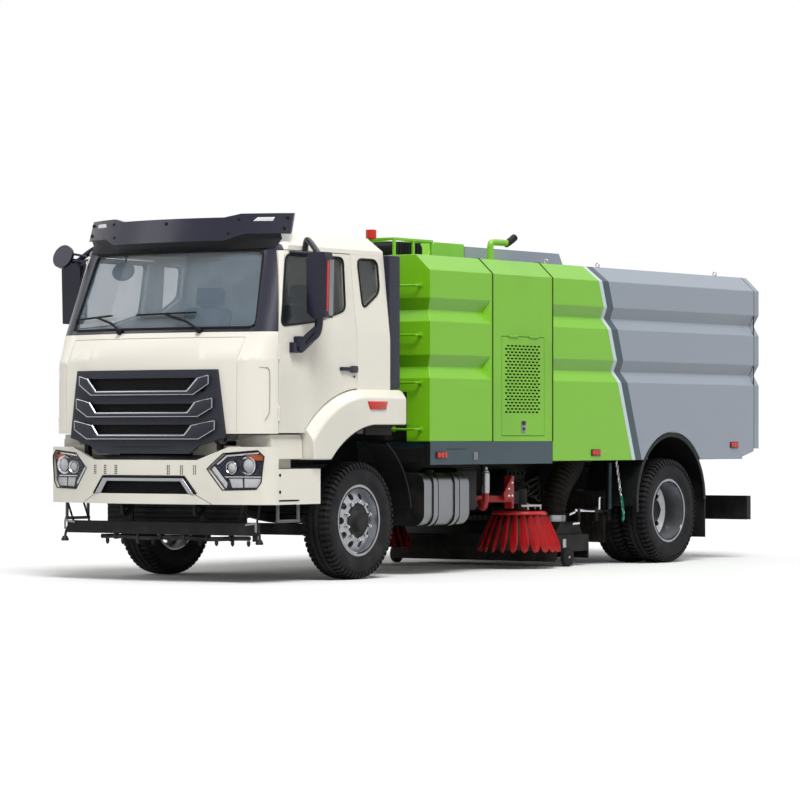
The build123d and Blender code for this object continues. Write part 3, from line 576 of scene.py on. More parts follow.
def along(points, step=0.06):
    """Extra points on the straight runs of a line in the front or side view."""
    line = [points[0]]
    for a, b in zip(points, points[1:]):
        count = max(1, round(hypot(b[0] - a[0], b[1] - a[1]) / step))
        line += [(a[0] + (b[0] - a[0]) * i / count, a[1] + (b[1] - a[1]) * i / count) for i in range(1, count + 1)]
    return line


def around(points, step):
    """Extra points on the straight runs of a closed outline."""
    return along(points + points[:1], step)[:-1]


CORNER_STEPS = 5


def cornered(points, radius, steps=CORNER_STEPS):
    """Closed outline with round corners, and beside it each corner's own sharp place."""
    soft, sharp = [], []
    for before, here, after in zip(points[-1:] + points[:-1], points, points[1:] + points[:1]):
        here = Vector(here)
        a, b = (Vector(before) - here).normalized(), (Vector(after) - here).normalized()
        for i in range(steps + 1):
            t = i / steps
            soft.append(tuple(here + a * radius * (1 - t) ** 2 + b * radius * t ** 2))
            sharp.append(tuple(here))
    return soft, sharp


# Skins: welded, soft-edged copies of the CAD nodes in their finishes
SKINS = [
    ("frame_rails", chassis_black, 0.003), ("cross_members", chassis_black, 0.003), ("front_axle", iron, 0.006),
    ("rear_axle", iron, 0.01), ("leaf_springs", iron, 0.004), ("engine", iron, 0.02), ("bumper", cab_paint, 0.01),
    ("steps", step_paint, 0.008), ("guards", chassis_black, 0.006), ("mudguards", black_plastic, 0.003),
    ("water_tank", tank_paint, 0.006), ("skirts", slate_paint, 0.006), ("engine_housing", green_paint, 0.005),
    ("aux_engine", iron, 0.02), ("suction_nozzle", chassis_black, 0.006), ("cab_front", front_paint, 0.01),
    ("cab_roof", roof_paint, 0.02), ("cab_back", back_paint, 0.008), ("cab_floor", cab_inside, 0.004),
    ("fenders", cab_paint, 0.02), ("cab_glass", screen_glass, 0), ("grille", grille_grey, 0.005),
    ("sun_visor", gloss_black, 0.008), ("air_intake", gloss_black, 0.015), ("dashboard", cab_inside, 0.015),
    ("hopper_floor", hopper_paint, 0.004), ("hopper_sides", hopper_paint, 0.006), ("hopper_roof", hopper_paint, 0.006),
    ("tailgate", grey_paint, 0.006),
]
for side, _ in SIDES:
    SKINS += [
        ("door_" + side, cab_paint, 0.006), ("door_glass_" + side, window_glass, 0),
        ("mirror_" + side, gloss_black, 0.01), ("knuckle_" + side, iron, 0.004),
        ("rim_front_" + side, rim_steel, 0.004), ("rims_rear_" + side, rim_steel, 0.004),
        ("engine_door_" + side, green_paint, 0.003), ("brush_arm_" + side, red_paint, 0.005),
        ("brush_motor_" + side, chassis_black, 0.005), ("rear_mudguard_" + side, black_plastic, 0.003),
    ]
skins = {node: dress(node, material, edge) for node, material, edge in SKINS}

for node in ("water_tank", "engine_housing"):
    recolour(skins[node], chassis_black, lambda p: p.z < BODY_FOOT)
# Inner faces of the engine doors' vent holes take black rubber: painted shade inside the holes.
for side, _ in SIDES:
    recolour(skins["engine_door_" + side], seal_rubber, lambda p: HALF - 0.037 < abs(p.x) < HALF - 0.003
             and at(2.05) < p.y < at(2.685) and 1.27 < p.z < 2.09)
recolour(skins["cab_glass"], window_glass, lambda p: p.y > at(-0.5))
# The skirts' front faces are near-black: painted shade.
recolour(skins["skirts"], chassis_black, lambda p: p.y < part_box("skirts")[0].y + 0.004)
recolour(skins["hopper_roof"], grey_paint, lambda p: p.z > BODY_TOP + 0.004)

# Nodes whose solids differ in finish are taken apart
MIXED = {
    "lamps": lambda centre, size: ruby if centre.z > 2 or centre.y > 0 else None,
    "side_tanks": lambda centre, size: aluminium if centre.x > 0 else black_plastic,
    "roof_fittings": lambda centre, size: None if size.x < 0.1 else black_plastic if size.x < 0.3 else green_paint,
}
for node, finish_of in MIXED.items():
    whole = dress(node, black_plastic, 0.006)
    take(whole)
    bpy.ops.mesh.separate(type="LOOSE")
    for piece in list(bpy.context.selected_objects):
        low, high = (Vector(piece.bound_box[i]) for i in (0, 6))
        material = finish_of((low + high) / 2, high - low)
        if material:
            piece.data.materials[0] = material
            if material is aluminium:
                recolour(piece, chassis_black, lambda p: p.y < low.y + 0.004)
            if material is ruby:
                recolour(piece, green_paint, lambda p: BODY_TOP - 0.1 < p.z < BODY_TOP + 0.15)
        else:
            bpy.data.objects.remove(piece)


def on_front(points, ahead):
    """Places on the cab's front, a little ahead of it."""
    return [(x, cab_y(x, z) - ahead, z) for x, z in points]


def on_bumper(points, ahead):
    """Places on the bumper's front, a little ahead of it."""
    return [(x, bumper_y(x) - ahead, z) for x, z in points]


def both_ways(points):
    """A line from its left-hand end to the middle, carried on to the right-hand end."""
    return points + [(-x, z) for x, z in reversed(points) if x]


def between(a, b, count):
    """Points at even steps from a to b."""
    return [tuple(Vector(a).lerp(Vector(b), i / count)) for i in range(count + 1)]


def stud(place, radius, height, axis="Y", sides=16):
    """Bolt head or button standing on a face; a negative height stands towards the axis's low end."""
    return lathe([(0, 0), (height, 0), (height, 0.75 * radius), (0.7 * height, radius), (0, radius)],
                 place, axis, sides)


# Grille: net behind the slots and three boat-shaped bands with bright edges
# Near-black sheet behind the net: painted shade for the dark space behind the grille.
rows = [on_front(between((-0.71, z), (0.71, z), 14), 0.003) for z in (1.23, 1.48, 1.735)]
done(sheet(rows, 0.004), "grille_shade_backing", "cab", seal_rubber)
net = sheet([on_front([(-0.66 + 0.02 * i, 1.24 + 0.02 * j) for i in range(67)], 0.006) for j in range(25)])
done(apply(net, "WIREFRAME", thickness=0.006), "grille_net", "cab", black_plastic)
BANDS = [  # end x, end top, end low, low x, low z, inner top (x, z), inner low (x, z)
    (0.700, 1.735, 1.665, 0.555, 1.578, (0.600, 1.712), (0.495, 1.604)),
    (0.735, 1.545, 1.466, 0.600, 1.394, (0.575, 1.512), (0.500, 1.424)),
    (0.760, 1.358, 1.286, 0.607, 1.207, (0.540, 1.318), (0.470, 1.236)),
]
GRILLE_FACE = 0.035
bands, edges = [], []
for end_x, end_top, end_low, low_x, low_z, inner_top, inner_low in BANDS:
    outer = [(end_x, end_top), (end_x, end_low), ((end_x + low_x) / 2, (end_low + low_z) / 2), (low_x, low_z)]
    inner = between(inner_top, inner_low, 3)
    outer += between((low_x, low_z), (0, low_z), 5)[1:]
    inner += between(inner_low, (0, inner_low[1]), 5)[1:]
    rows = [both_ways(line) for line in (outer, inner)]
    rows.insert(1, [tuple(Vector(a).lerp(Vector(b), 0.5)) for a, b in zip(*rows)])
    ahead = [GRILLE_FACE + rise for rise in (0.012, 0.022, 0.012)]
    bands.append(rounded(sheet([on_front(row, out) for row, out in zip(rows, ahead)], 0.024), 0.004))
    edges.append(tube(on_front(along(rows[0]), GRILLE_FACE + 0.024), 0.006, straight=True))
    edges.append(tube(on_front(along(rows[2]), GRILLE_FACE + 0.024), 0.009, straight=True))
    for left, right in ((rows[0][0], rows[2][0]), (rows[0][-1], rows[2][-1])):
        edges.append(tube(on_front([left, right], GRILLE_FACE + 0.024), 0.006, straight=True))
done(join(bands), "grille_bands", "cab", grille_grey)
done(join(edges), "grille_trim", "cab", bright_trim)
lip_rows = [on_bumper(both_ways(between((0.60, z), (0.0, z), 8)), -0.03 - drop)
            for z, drop in ((0.99, 0), (1.07, 0.02))]
done(rounded(sheet(lip_rows, 0.012), 0.003), "bumper_top_strip", "chassis", black_plastic)

# Behind the bumper: top of the cooler, cream panels beside it and a slatted valance below
ribs = row_of(brick((-0.73, 0.73), (-1.075, -1.045), (0.99, 0.998), 0.002), (0, 0, 0.018), 8)
plate = brick((-0.74, 0.74), (-1.05, -1.03), (0.985, 1.138))
done(join([ribs, plate]), "cooler_top", "chassis", black_plastic)
SHOULDER = [(0.40, 0.99), (0.90, 0.99), (0.90, 1.15), (0.695, 1.15), (0.695, 1.19), (0.40, 1.19)]
pair(front_plate(SHOULDER, -1.372, -1.360, 0.004), "bumper_shoulder", "chassis", cab_paint)
slats = row_of(brick((-0.75, 0.75), (-1.115, -1.100), (0.50, 0.53), 0.005), (0, 0, 0.045), 5)
flat = brick((-0.76, 0.76), (-1.102, -1.085), (0.485, 0.73), 0.006)
done(join([slats, flat]), "front_valance", "chassis", black_plastic)

# Bumper: rows of small holes, bright intake frame with a net, seams below it
dots = []
for _, s in SIDES:
    for block_x in (0.285, 0.415, 0.54):
        for i in range(10):
            x = s * (block_x + 0.018 * (i % 2) - 0.009)
            dots.append((x, bumper_y(x), 0.915 + 0.0165 * (i // 2)))
hole = stud((0, 0, 0), 0.0062, -0.0022, sides=10)
done(spread(hole, dots), "bumper_holes", "chassis", seal_rubber)
outer = along([(0.535, 0.750), (0.434, 0.882)], 0.04) + between((0.434, 0.882), (0, 0.882), 8)[1:]
inner = along([(0.478, 0.750), (0.397, 0.856)], 0.04)
inner = between(inner[0], inner[-1], len(outer) - 9) + between((0.397, 0.856), (0, 0.856), 8)[1:]
rows = [on_bumper(both_ways(line), ahead) for line, ahead in ((outer, 0.004), (inner, -0.012))]
done(rounded(sheet(rows, 0.022), 0.004), "intake_frame", "chassis", bright_trim)
rim_line = on_bumper(both_ways(along([(0.555, 0.748), (0.441, 0.892), (0, 0.892)], 0.05)), 0.001)
done(tube(rim_line, 0.010, straight=True), "intake_edge", "chassis", seal_rubber)
net = sheet([on_bumper([(-0.5 + 0.02 * i, 0.745 + 0.016 * j) for i in range(51)], -0.05) for j in range(8)])
done(apply(net, "WIREFRAME", thickness=0.005), "intake_net", "chassis", black_plastic)
seam = tube(on_bumper(along([(0.548, 0.742), (0.70, 0.662)]), 0.0), 0.0025, straight=True)
pair(seam, "bumper_seam", "chassis", seal_rubber)

# Headlamps: dark housing, two round beams, bright blades, two lower lamps and a clear cover
LAMP = [(0.655, 0.958), (0.800, 1.085), (1.098, 1.110), (1.150, 1.060), (1.125, 0.845), (1.085, 0.790), (0.795, 0.782)]


def lamp_face(outline, ahead, thick, edge=0.0):
    """Plate in the lamp's mouth that follows the bumper's curve."""
    obj = slab("front", around(outline, 0.03), 0, thick)
    edit(obj, ("quads_convert_to_tris", {}), ("subdivide", {"number_cuts": 1}))
    for vertex in obj.data.vertices:
        vertex.co.y += bumper_y(vertex.co.x) - ahead
    return rounded(obj, edge) if edge else obj


def shrunk(outline, share):
    """Outline drawn in towards its middle."""
    centre = sum((Vector(p) for p in outline), Vector((0, 0))) / len(outline)
    return [tuple(centre.lerp(Vector(p), share)) for p in outline]


pair(lamp_face(shrunk(LAMP, 0.99), -0.034, 0.02), "lamp_housing", "chassis", gloss_black)
ring_pieces, beam_pieces = [], []
for x, z, r in ((1.000, 0.985, 0.060), (0.858, 0.968, 0.043)):
    spot = (x, bumper_y(x) + 0.034, z)
    ring = [(0, 1.32 * r), (-0.012, 1.32 * r), (-0.016, 1.22 * r), (-0.004, r), (0, r)]
    beam = [(0, 0), (-0.022, 0), (-0.019, 0.45 * r), (-0.011, 0.8 * r), (0, 0.96 * r)]
    ring_pieces.append(lathe(ring, spot, "Y", 32))
    beam_pieces.append(lathe(beam, spot, "Y", 32))
blade = lamp_face([(0.668, 0.957), (0.700, 0.985), (0.822, 0.836), (0.806, 0.792)], -0.03, 0.012, 0.003)
brow = lamp_face([(0.715, 0.998), (0.808, 1.074), (1.090, 1.098), (1.085, 1.082), (0.816, 1.058), (0.735, 0.990)],
                 -0.03, 0.010, 0.003)
shelf = lamp_face([(0.80, 0.896), (1.122, 0.896), (1.121, 0.886), (0.81, 0.886)], -0.02, 0.012, 0.002)
pair(join(ring_pieces + [blade, brow, shelf]), "lamp_bright_parts", "chassis", chrome)
pair(join(beam_pieces), "lamp_beams", "chassis", milky)
lower = [lamp_face(o, -0.028, 0.012, 0.004) for o in (
    [(0.835, 0.878), (0.948, 0.878), (0.952, 0.802), (0.862, 0.800)],
    [(0.965, 0.878), (1.108, 0.878), (1.100, 0.838), (1.072, 0.804), (0.968, 0.802)])]
pair(join(lower), "lamp_lower", "chassis", milky)
turn = lamp_face([(0.965, 1.078), (1.130, 1.078), (1.135, 1.030), (1.02, 1.028), (1.0, 1.048)], -0.024, 0.014, 0.004)
pair(turn, "lamp_turn", "chassis", amber)
pair(lamp_face(shrunk(LAMP, 0.995), -0.002, 0.003), "lamp_cover", "chassis", clear_glass)
seal = tube(on_bumper(around(LAMP, 0.05), 0.001), 0.005, straight=True, closed=True)
pair(seal, "lamp_seal", "chassis", seal_rubber)

# Sun visor: dark tray below it down to the header, bolts and two small clearance lamps
VISOR_LOW, VISOR_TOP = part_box("sun_visor")[0].z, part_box("sun_visor")[1].z


def visor_y(x, z):
    """Y of the visor's front."""
    share = (z - VISOR_LOW) / (VISOR_TOP - VISOR_LOW)
    return at(-1.300 + 0.100 * share + (0.340 - 0.025 * share) * (x / 1.105) ** 2)


wide = [-1.03, -0.92, -0.78, -0.6, -0.4, -0.2, 0, 0.2, 0.4, 0.6, 0.78, 0.92, 1.03]
lift = [0.06 * min(1, max(0, (abs(x) - 0.6) / 0.16)) for x in wide]
# The tray is black, partly as painted shade under the visor.
tray = [[(x, visor_y(x, VISOR_LOW) + 0.020, VISOR_LOW + 0.006 + up) for x, up in zip(wide, lift)],
        [(x, visor_y(x, VISOR_LOW) + 0.045, VISOR_LOW - 0.030 + 0.8 * up) for x, up in zip(wide, lift)],
        [(0.97 * x, cab_y(0.97 * x, 2.79) - 0.012, 2.79 + 0.012 * abs(x)) for x in wide]]
done(rounded(sheet(tray, 0.012), 0.003), "visor_tray", "cab", black_plastic)
heads = [(0, 3.03), (0.68, 3.05), (0.62, 2.93), (1.06, 3.06), (1.05, 2.97)]
heads += [(-x, z) for x, z in heads[1:]]
bolts = [stud((x, visor_y(x, z) + 0.004, z), 0.016, -0.014, sides=12) for x, z in heads]
done(join(bolts), "visor_bolts", "cab", seal_rubber)
rows = [[(x, visor_y(x, z) - 0.002, z) for x in (low, (low + high) / 2, high)] for z, low, high in
        ((3.032, 0.80, 0.955), (3.050, 0.815, 0.960), (3.066, 0.83, 0.965))]
pair(rounded(sheet(rows, 0.010), 0.003), "clearance_lamp", "cab", milky)

# Wipers on the windscreen's foot
wiper_parts = []
for pivot_x, ends, hold in ((-0.357, ((-0.98, 2.225), (-0.50, 2.252)), (-0.68, 2.243)),
                            (0.494, ((-0.20, 2.250), (0.42, 2.262)), (0.12, 2.256))):
    foot = on_front([(pivot_x, 2.115)], 0.006)[0]
    knee = on_front([(pivot_x + 0.35 * (hold[0] - pivot_x), 2.19)], 0.032)[0]
    grip = on_front([hold], 0.02)[0]
    wiper_parts.append(tube([foot, knee, grip], 0.010, straight=True))
    wiper_parts.append(stud(foot, 0.026, -0.03))
    spine = [Vector(p) for p in on_front(between(*ends, 10), 0.006)]
    blade = sheet([[p + Vector((0, -0.012, -0.004)) for p in spine], [p + Vector((0, -0.012, 0.010)) for p in spine],
                   [p + Vector((0, 0.010, 0.003)) for p in spine]], 0.006)
    wiper_parts.append(blade)
done(join(wiper_parts), "wipers", "cab", seal_rubber)

# Rubber round the windscreen
SCREEN = [(-0.991, 2.135), (0.991, 2.135), (0.903, 2.790), (-0.903, 2.790)]
rubber = tube(on_front(around(cornered(SCREEN, 0.07)[0], 0.08), 0.001), 0.011, straight=True, closed=True)
done(rubber, "screen_rubber", "cab", seal_rubber)


# Sides of the cab: window rubbers with rounded corners, handles, mirror strips, fender lamps and liners
DOOR_WINDOW = [(-1.142, 2.148), (-0.990, 2.752), (-0.190, 2.752), (-0.222, 2.303), (-0.646, 2.195)]
QUARTER_WINDOW = [(0.013, 2.752), (0.305, 2.752), (0.300, 2.473), (0.035, 2.319)]


def on_side(points, out=0.0):
    """Places on the cab's left side, given as distances behind the front axle and heights."""
    return [(side_x(z) + out, at(y), z) for y, z in points]


WINDOWS = ((DOOR_WINDOW, "door_window", "door_{}", 0.06), (QUARTER_WINDOW, "quarter_window", "cab", 0.07))
for window, name, body, radius in WINDOWS:
    soft, sharp = cornered(window, radius)
    loop = on_side(around(soft, 0.1))
    pair(tube(loop, 0.010, straight=True, closed=True), name + "_rubber", body, seal_rubber)
    corners = []
    for i in range(0, len(soft), CORNER_STEPS + 1):
        rows = [on_side(line[i:i + CORNER_STEPS + 1], -0.006) for line in (soft, sharp)]
        corners.append(edit(sheet(rows, 0.012), WELD))
    pair(join(corners), name + "_corners", body, cab_paint)

HANDLE = [(-0.334, 1.786), (-0.200, 1.786), (-0.178, 1.770), (-0.100, 1.770), (-0.094, 1.800), (-0.100, 1.830),
          (-0.178, 1.830), (-0.200, 1.818), (-0.334, 1.818)]
handle = side_plate(HANDLE, 1.163, 1.192, 0.007)
key = stud((1.164, at(-0.125), 1.737), 0.011, 0.006, "X")
pair(join([handle, key]), "door_handle", "door_{}", gloss_black)


def mirror_strip(y0, y1, z0, z1):
    """Strip on the mirror's outer face, which leans out as it rises."""
    face = [1.4405 + 0.0248 * (z - 2.216) for z in (z0, z1)]
    rows = [[(face[0], at(y), z0) for y in (y0, y1)], [(face[1], at(y), z1) for y in (y0, y1)]]
    return rounded(sheet(rows, 0.008), 0.002)


pair(mirror_strip(-0.897, -0.872, 2.27, 2.69), "mirror_lamp", "door_{}", ruby)
pair(mirror_strip(-0.866, -0.804, 2.235, 2.70), "mirror_edge", "door_{}", aluminium)
MIRROR = [(1.262, 2.278), (1.315, 2.232), (1.424, 2.240), (1.434, 2.690), (1.415, 2.742), (1.275, 2.742),
          (1.258, 2.690)]
pair(front_plate(MIRROR, -0.806, -0.797, 0.003), "mirror_glass", "door_{}", chrome)

MIRROR_FOOT = [(-0.99, 2.065), (-0.77, 2.060), (-0.77, 2.020), (-0.94, 1.920), (-0.98, 1.950)]
foot = side_plate(MIRROR_FOOT, 1.160, 1.236, 0.016)
STEM = [(1.19, -0.875, 2.010), (1.26, -0.86, 2.04), (1.335, -0.85, 2.11), (1.335, -0.852, 2.24)]
stem = route(STEM, 0.036, sides=4)
BRACE = [(1.105, -0.74, 2.745), (1.12, -0.76, 2.880), (1.19, -0.79, 2.875), (1.335, -0.855, 2.745)]
brace = route(BRACE, 0.026, sides=4)
pair(join([foot, stem, brace]), "mirror_arms", "door_{}", gloss_black)
arms = [route([(-1.098, -0.985, z - 0.03), (-1.19, -1.03, z), (-1.285, -1.052, z)], 0.011) for z in (2.775, 2.822)]
done(join(arms), "front_mirror_arms", "door_right", gloss_black)
marker = side_plate([(-0.047, 1.528), (0.240, 1.528), (0.215, 1.458), (-0.010, 1.458)], 1.244, 1.262, 0.005)
pair(marker, "fender_lamp", "cab", ruby)
ARCH = [(-0.556, 1.024), (-0.48, 1.112), (-0.385, 1.171), (-0.25, 1.242), (-0.10, 1.298), (0.06, 1.321),
        (0.30, 1.321), (0.595, 1.321)]
liner = sheet([[(x, at(y), z) for y, z in ARCH] for x in (0.866, 1.05, 1.243)], 0.006)
pair(liner, "arch_liner", "cab", black_plastic)


# Height, then the corner's front end and its side end
CORNERS = [(1.040, 0.934, -1.450, 1.165, -1.215), (1.850, 0.934, -1.440, 1.165, -1.205),
           (2.070, 0.945, -1.310, 1.165, -1.190)]


def corner_place(t, z):
    """Place on the cab's rounded front corner, t running from its front face to its side."""
    for low, high in zip(CORNERS, CORNERS[1:]):
        if z <= high[0]:
            break
    share = (z - low[0]) / (high[0] - low[0])
    cx, cy, sx, sy = (a + (b - a) * share for a, b in zip(low[1:], high[1:]))
    mx, my = cx + 0.72 * (sx - cx), cy + 0.42 * (sy - cy)
    ways = (1 - t) * (1 - 2 * t), 4 * t * (1 - t), t * (2 * t - 1)
    return sum(w * x for w, x in zip(ways, (cx, mx, sx))), at(sum(w * y for w, y in zip(ways, (cy, my, sy)))), z


# The corner seam is drawn in darker cream: painted shade along it.
SEAM = [(0.12, 1.795), (0.5, 1.800), (0.68, 1.798), (0.74, 1.775), (0.75, 1.70), (0.75, 1.50), (0.74, 1.42),
        (0.62, 1.36)]
pair(tube([corner_place(*p) for p in SEAM], 0.0045, straight=True), "corner_seam", "cab", seam_painted_shade)

# Steps: ribbed treads, risers, bolt holes and a trim line; flaps inside the fenders
rib = brick((0.78, 1.186), (-1.225, -1.213), (0.953, 0.961), 0.002)
pair(row_of(rib, (0, 0.034, 0), 17), "step_tread", "chassis", aluminium)
flap = brick((1.168, 1.176), (0.02, 0.41), (1.24, 1.345), 0.002)
pair(flap, "fender_flap", "cab", hose_rubber)
riser = brick((0.77, 1.126), (-1.236, -0.824), (1.195, 1.243), 0.006)
pair(riser, "step_riser", "chassis", cab_paint)
bolts = [stud((1.189, at(-1.200), z), 0.014, 0.004, "X") for z in (0.905, 0.765)]
slot_line = side_plate([(-1.215, 0.700), (-0.93, 0.700), (-0.95, 0.686), (-1.215, 0.686)], 1.186, 1.193, 0.002)
pair(join(bolts + [slot_line]), "step_marks", "chassis", seal_rubber)

# Wash bar: spray pipe with nozzles, swivel jets at the ends and hanger rods
pipe = tube([(x, at(-1.29), 0.372 + 0.006 * sin(9 * x)) for x in [-0.66 + 0.1 * i for i in range(17)]], 0.02)
jet = lathe([(0, 0), (0, 0.016), (-0.03, 0.016), (-0.045, 0.008), (-0.05, 0)], (-0.6, at(-1.29), 0.356), "Z", 12)
jets = row_of(jet, (0.17, 0, 0), 10)
clips = row_of(brick((-0.512, -0.488), (-1.315, -1.265), (0.352, 0.402), 0.003), (0.25, 0, 0), 7)
done(join([pipe, jets, clips]), "wash_pipe", "chassis", iron)
arm = route([(1.01, -1.29, 0.47), (1.06, -1.30, 0.45), (1.06, -1.31, 0.36)], 0.011)
JET_HEAD = [(0.02, 0), (0.02, 0.02), (-0.01, 0.034), (-0.022, 0.03), (-0.022, 0)]
pair(join([arm, lathe(JET_HEAD, (1.06, at(-1.312), 0.35), "Z", 16)]), "end_jet", "chassis", iron)
BRACKET = [(0.93, 0.50), (1.05, 0.515), (1.05, 0.43), (1.03, 0.43), (1.03, 0.495), (0.93, 0.482)]
pair(front_plate(BRACKET, -1.338, -1.331, 0.002), "end_bracket", "chassis", aluminium)
rods = [route([(x, -1.27, 0.50), (x + 0.03, -1.28, 0.60), (x + 0.05, -1.29, 0.668)], 0.009) for x in (0.82, 1.0)]
pair(join(rods), "wash_hanger", "chassis", chassis_black)


# Wheels: tyres with ribs and shoulder lugs, wheel nuts, dark hubs
TYRE = [(0.006, 0.490), (0.006, 0.506), (0.048, 0.5055), (0.048, 0.489), (0.058, 0.488), (0.085, 0.487), (0.112, 0.483),
        (0.121, 0.466), (0.130, 0.446), (0.136, 0.425), (0.138, 0.400), (0.1365, 0.390), (0.1378, 0.386),
        (0.1350, 0.372), (0.1300, 0.345), (0.1200, 0.318), (0.1210, 0.312), (0.1040, 0.292)]


def tyre(x, y):
    """Tyre turned from its section; every other shoulder face is pushed out to a lug."""
    steps = 120
    bpy.context.tool_settings.mesh_select_mode = (False, False, True)
    profile = [(-across, radius) for across, radius in reversed(TYRE)] + TYRE
    obj = lathe(profile, (x, y, AXLE_Z), "X", steps)
    edit(obj, ("select_all", {"action": "DESELECT"}))
    for face in obj.data.polygons:
        across, up, behind = face.center.x - x, face.center.z - AXLE_Z, face.center.y - y
        place = int((atan2(up, behind) + 2 * pi) / (2 * pi) * steps)
        face.select = abs(across) > 0.06 and hypot(up, behind) > 0.455 and (place + (across > 0)) % 2 == 0
    bpy.ops.object.mode_set(mode="EDIT")
    bpy.ops.mesh.extrude_region_shrink_fatten(TRANSFORM_OT_shrink_fatten={"value": 0.0165})
    bpy.ops.object.mode_set(mode="OBJECT")
    bpy.context.tool_settings.mesh_select_mode = (True, False, False)
    return obj


NUT = [(0, 0), (0.038, 0), (0.038, 0.009), (0.026, 0.010), (0.026, 0.0165), (0.006, 0.0175), (0.006, 0.022),
       (0, 0.022)]
NUT_CIRCLE, NUTS = 0.1675, 10


def nuts(x, y):
    """Ring of wheel nuts on their studs."""
    places = [(0, NUT_CIRCLE * cos(t + pi / NUTS), NUT_CIRCLE * sin(t + pi / NUTS)) for t in full_turn(NUTS)]
    return spread(lathe(NUT, (x, y, AXLE_Z), "X", 6), places)


def wheel_pieces(tyres_at, nuts_at, y, body, tyre_name, tyre_node):
    """Tyres, nuts and bright rim lip of a left-hand wheel and its twin."""
    rubber = tyre(tyres_at[0], y) if len(tyres_at) == 1 else join([tyre(x, y) for x in tyres_at])
    pair(rubber, tyre_name, body, tyre_rubber, node=tyre_node)
    pair(nuts(nuts_at, y), tyre_name + "_nuts", body, chrome)
    lip = lathe([(0.100, 0.284), (0.116, 0.287), (0.122, 0.298), (0.118, 0.308), (0.110, 0.306), (0.104, 0.298)],
                (tyres_at[0], y, AXLE_Z), "X", 64)
    pair(lip, tyre_name + "_rim_lip", body, bright_trim)


wheel_pieces([1.010], 1.103, FRONT_AXLE, "wheel_front_{}", "front_tyre", "tyre_front_{}")
wheel_pieces([1.090, 0.778], 0.948, REAR_AXLE, "wheels_rear_{}", "rear_tyres", "tyres_rear_{}")
HUBS = (("rim_front_", FRONT_AXLE, 0.131, 1.106), ("rims_rear_", REAR_AXLE, 0.168, 0.94))
for side, _ in SIDES:
    for rim, y, radius, x in HUBS:
        recolour(skins[rim + side], iron, lambda p: hypot(p.y - y, p.z - AXLE_Z) < radius and abs(p.x) > x)

# Body: joint seals, rungs on the tank's front, latches, marker lamps
TANK_FRONT, TANK_REAR, BAY_REAR = 0.887, 1.869, 2.862
FOLD = BODY_TOP - 0.14
section = [(HALF, 1.185), (HALF, FOLD), (1.10, BODY_TOP)]
seals = [route([(x, y, z) for x, z in both_ways(section)], 0.007, straight=True)
         for y in (TANK_REAR, BAY_REAR - 0.002)]
done(join(seals), "body_seals", "chassis", seal_rubber)
rungs = []
for z in (1.290, 1.70, 2.12, 2.555):
    ends = [(0.86, TANK_FRONT), (0.86, TANK_FRONT - 0.055), (1.15, TANK_FRONT - 0.055), (1.15, TANK_FRONT)]
    rungs.append(route([(x, y, z) for x, y in along(ends, 0.05)], 0.011))
    rungs += [stud((x, at(TANK_FRONT + 0.001), z), 0.026, -0.007) for x in (0.86, 1.15)]
done(join(rungs), "body_rungs", "chassis", green_paint)
# Near-black sheet behind the vent holes: painted shade for the dark space behind the engine doors.
backing = brick((HALF - 0.048, HALF - 0.042), (2.05, 2.69), (1.42, 2.085), 0.001)
pair(backing, "vent_shade_backing", "engine_door_{}", seal_rubber)
plate = side_plate(cornered(oblong(2.37, 1.315, 0.035, 0.057), 0.012)[0], HALF - 0.002, HALF + 0.006, 0.002)
pair(plate, "latch_plate", "engine_door_{}", aluminium)
GRIP = [(2.35, 1.33), (2.39, 1.33), (2.395, 1.366), (2.345, 1.366)]
grip = side_plate(GRIP, HALF + 0.004, HALF + 0.016, 0.004)
key = stud((HALF + 0.004, at(2.37), 1.295), 0.016, 0.008, "X")
pair(join([grip, key]), "latch_grip", "engine_door_{}", gloss_black)
MARKERS = (("skirt_lamp", 1.057, 1.063, "chassis"), ("hopper_lamp_front", 3.602, 1.075, "hopper"),
           ("hopper_lamp_rear", 6.19, 1.142, "hopper"))
for name, y, z, body in MARKERS:
    base = side_plate(oblong(y, z, 0.08, 0.031), HALF - 0.001, HALF + 0.008, 0.002)
    cells = [side_plate(oblong(y + c, z, 0.021, 0.022), HALF + 0.006, HALF + 0.018, 0.005) for c in (-0.05, 0, 0.05)]
    pair(base, name + "_base", body, gloss_black)
    pair(join(cells), name, body, ruby)
switch = side_plate(cornered(oblong(1.59, 1.052, 0.03, 0.034), 0.008)[0], HALF - 0.001, HALF + 0.007, 0.002)
knob = stud((HALF + 0.006, at(1.59), 1.05), 0.014, 0.008, "X")
pair(join([switch, knob]), "skirt_switch", "chassis", aluminium)
seam = side_plate(oblong(1.295, 1.115, 0.155, 0.003), HALF - 0.001, HALF + 0.001)
pair(seam, "skirt_seam", "chassis", seal_rubber)

# Rear wheel arch: rolled edge on the mudguard
arch_rows = []
for radius in (0.612, 0.652):
    turns = [pi * i / 40 for i in range(41)]
    row = [(1.236, REAR_AXLE - radius * cos(t), 0.61 + radius * sin(t)) for t in turns]
    arch_rows.append([(1.236, REAR_AXLE - radius, 0.50)] + row)
pair(rounded(sheet(arch_rows, 0.010), 0.002), "arch_edge", "chassis", black_plastic)

# Fuel tank: black strap edges, filler cap
strap = cornered(oblong(0.8995, 0.673, 0.2555, 0.237), 0.118, 8)[0]
loops = [route([(x, y, z) for x, z in strap], 0.006, straight=True, closed=True)
         for y in (1.072, 1.148, 1.402, 1.478)]
done(join(loops), "tank_strap_edges", "chassis", seal_rubber)
CAP = [(0, 0), (0.034, 0), (0.034, 0.03), (0.026, 0.042), (0.012, 0.045), (0.012, 0.036), (0, 0.036)]
cap = lathe(CAP, (0.98, at(1.26), 0.903), "Z", 24)
done(cap, "tank_cap", "chassis", gloss_black)


# Side brushes: a ribbed disc, flat tufts of bristle around a dark core that is painted shade inside the brush, a spray
# ring and motor hoses
BRUSH_X, BRUSH_Y, TUFTS = 0.85, at(2.91), 22


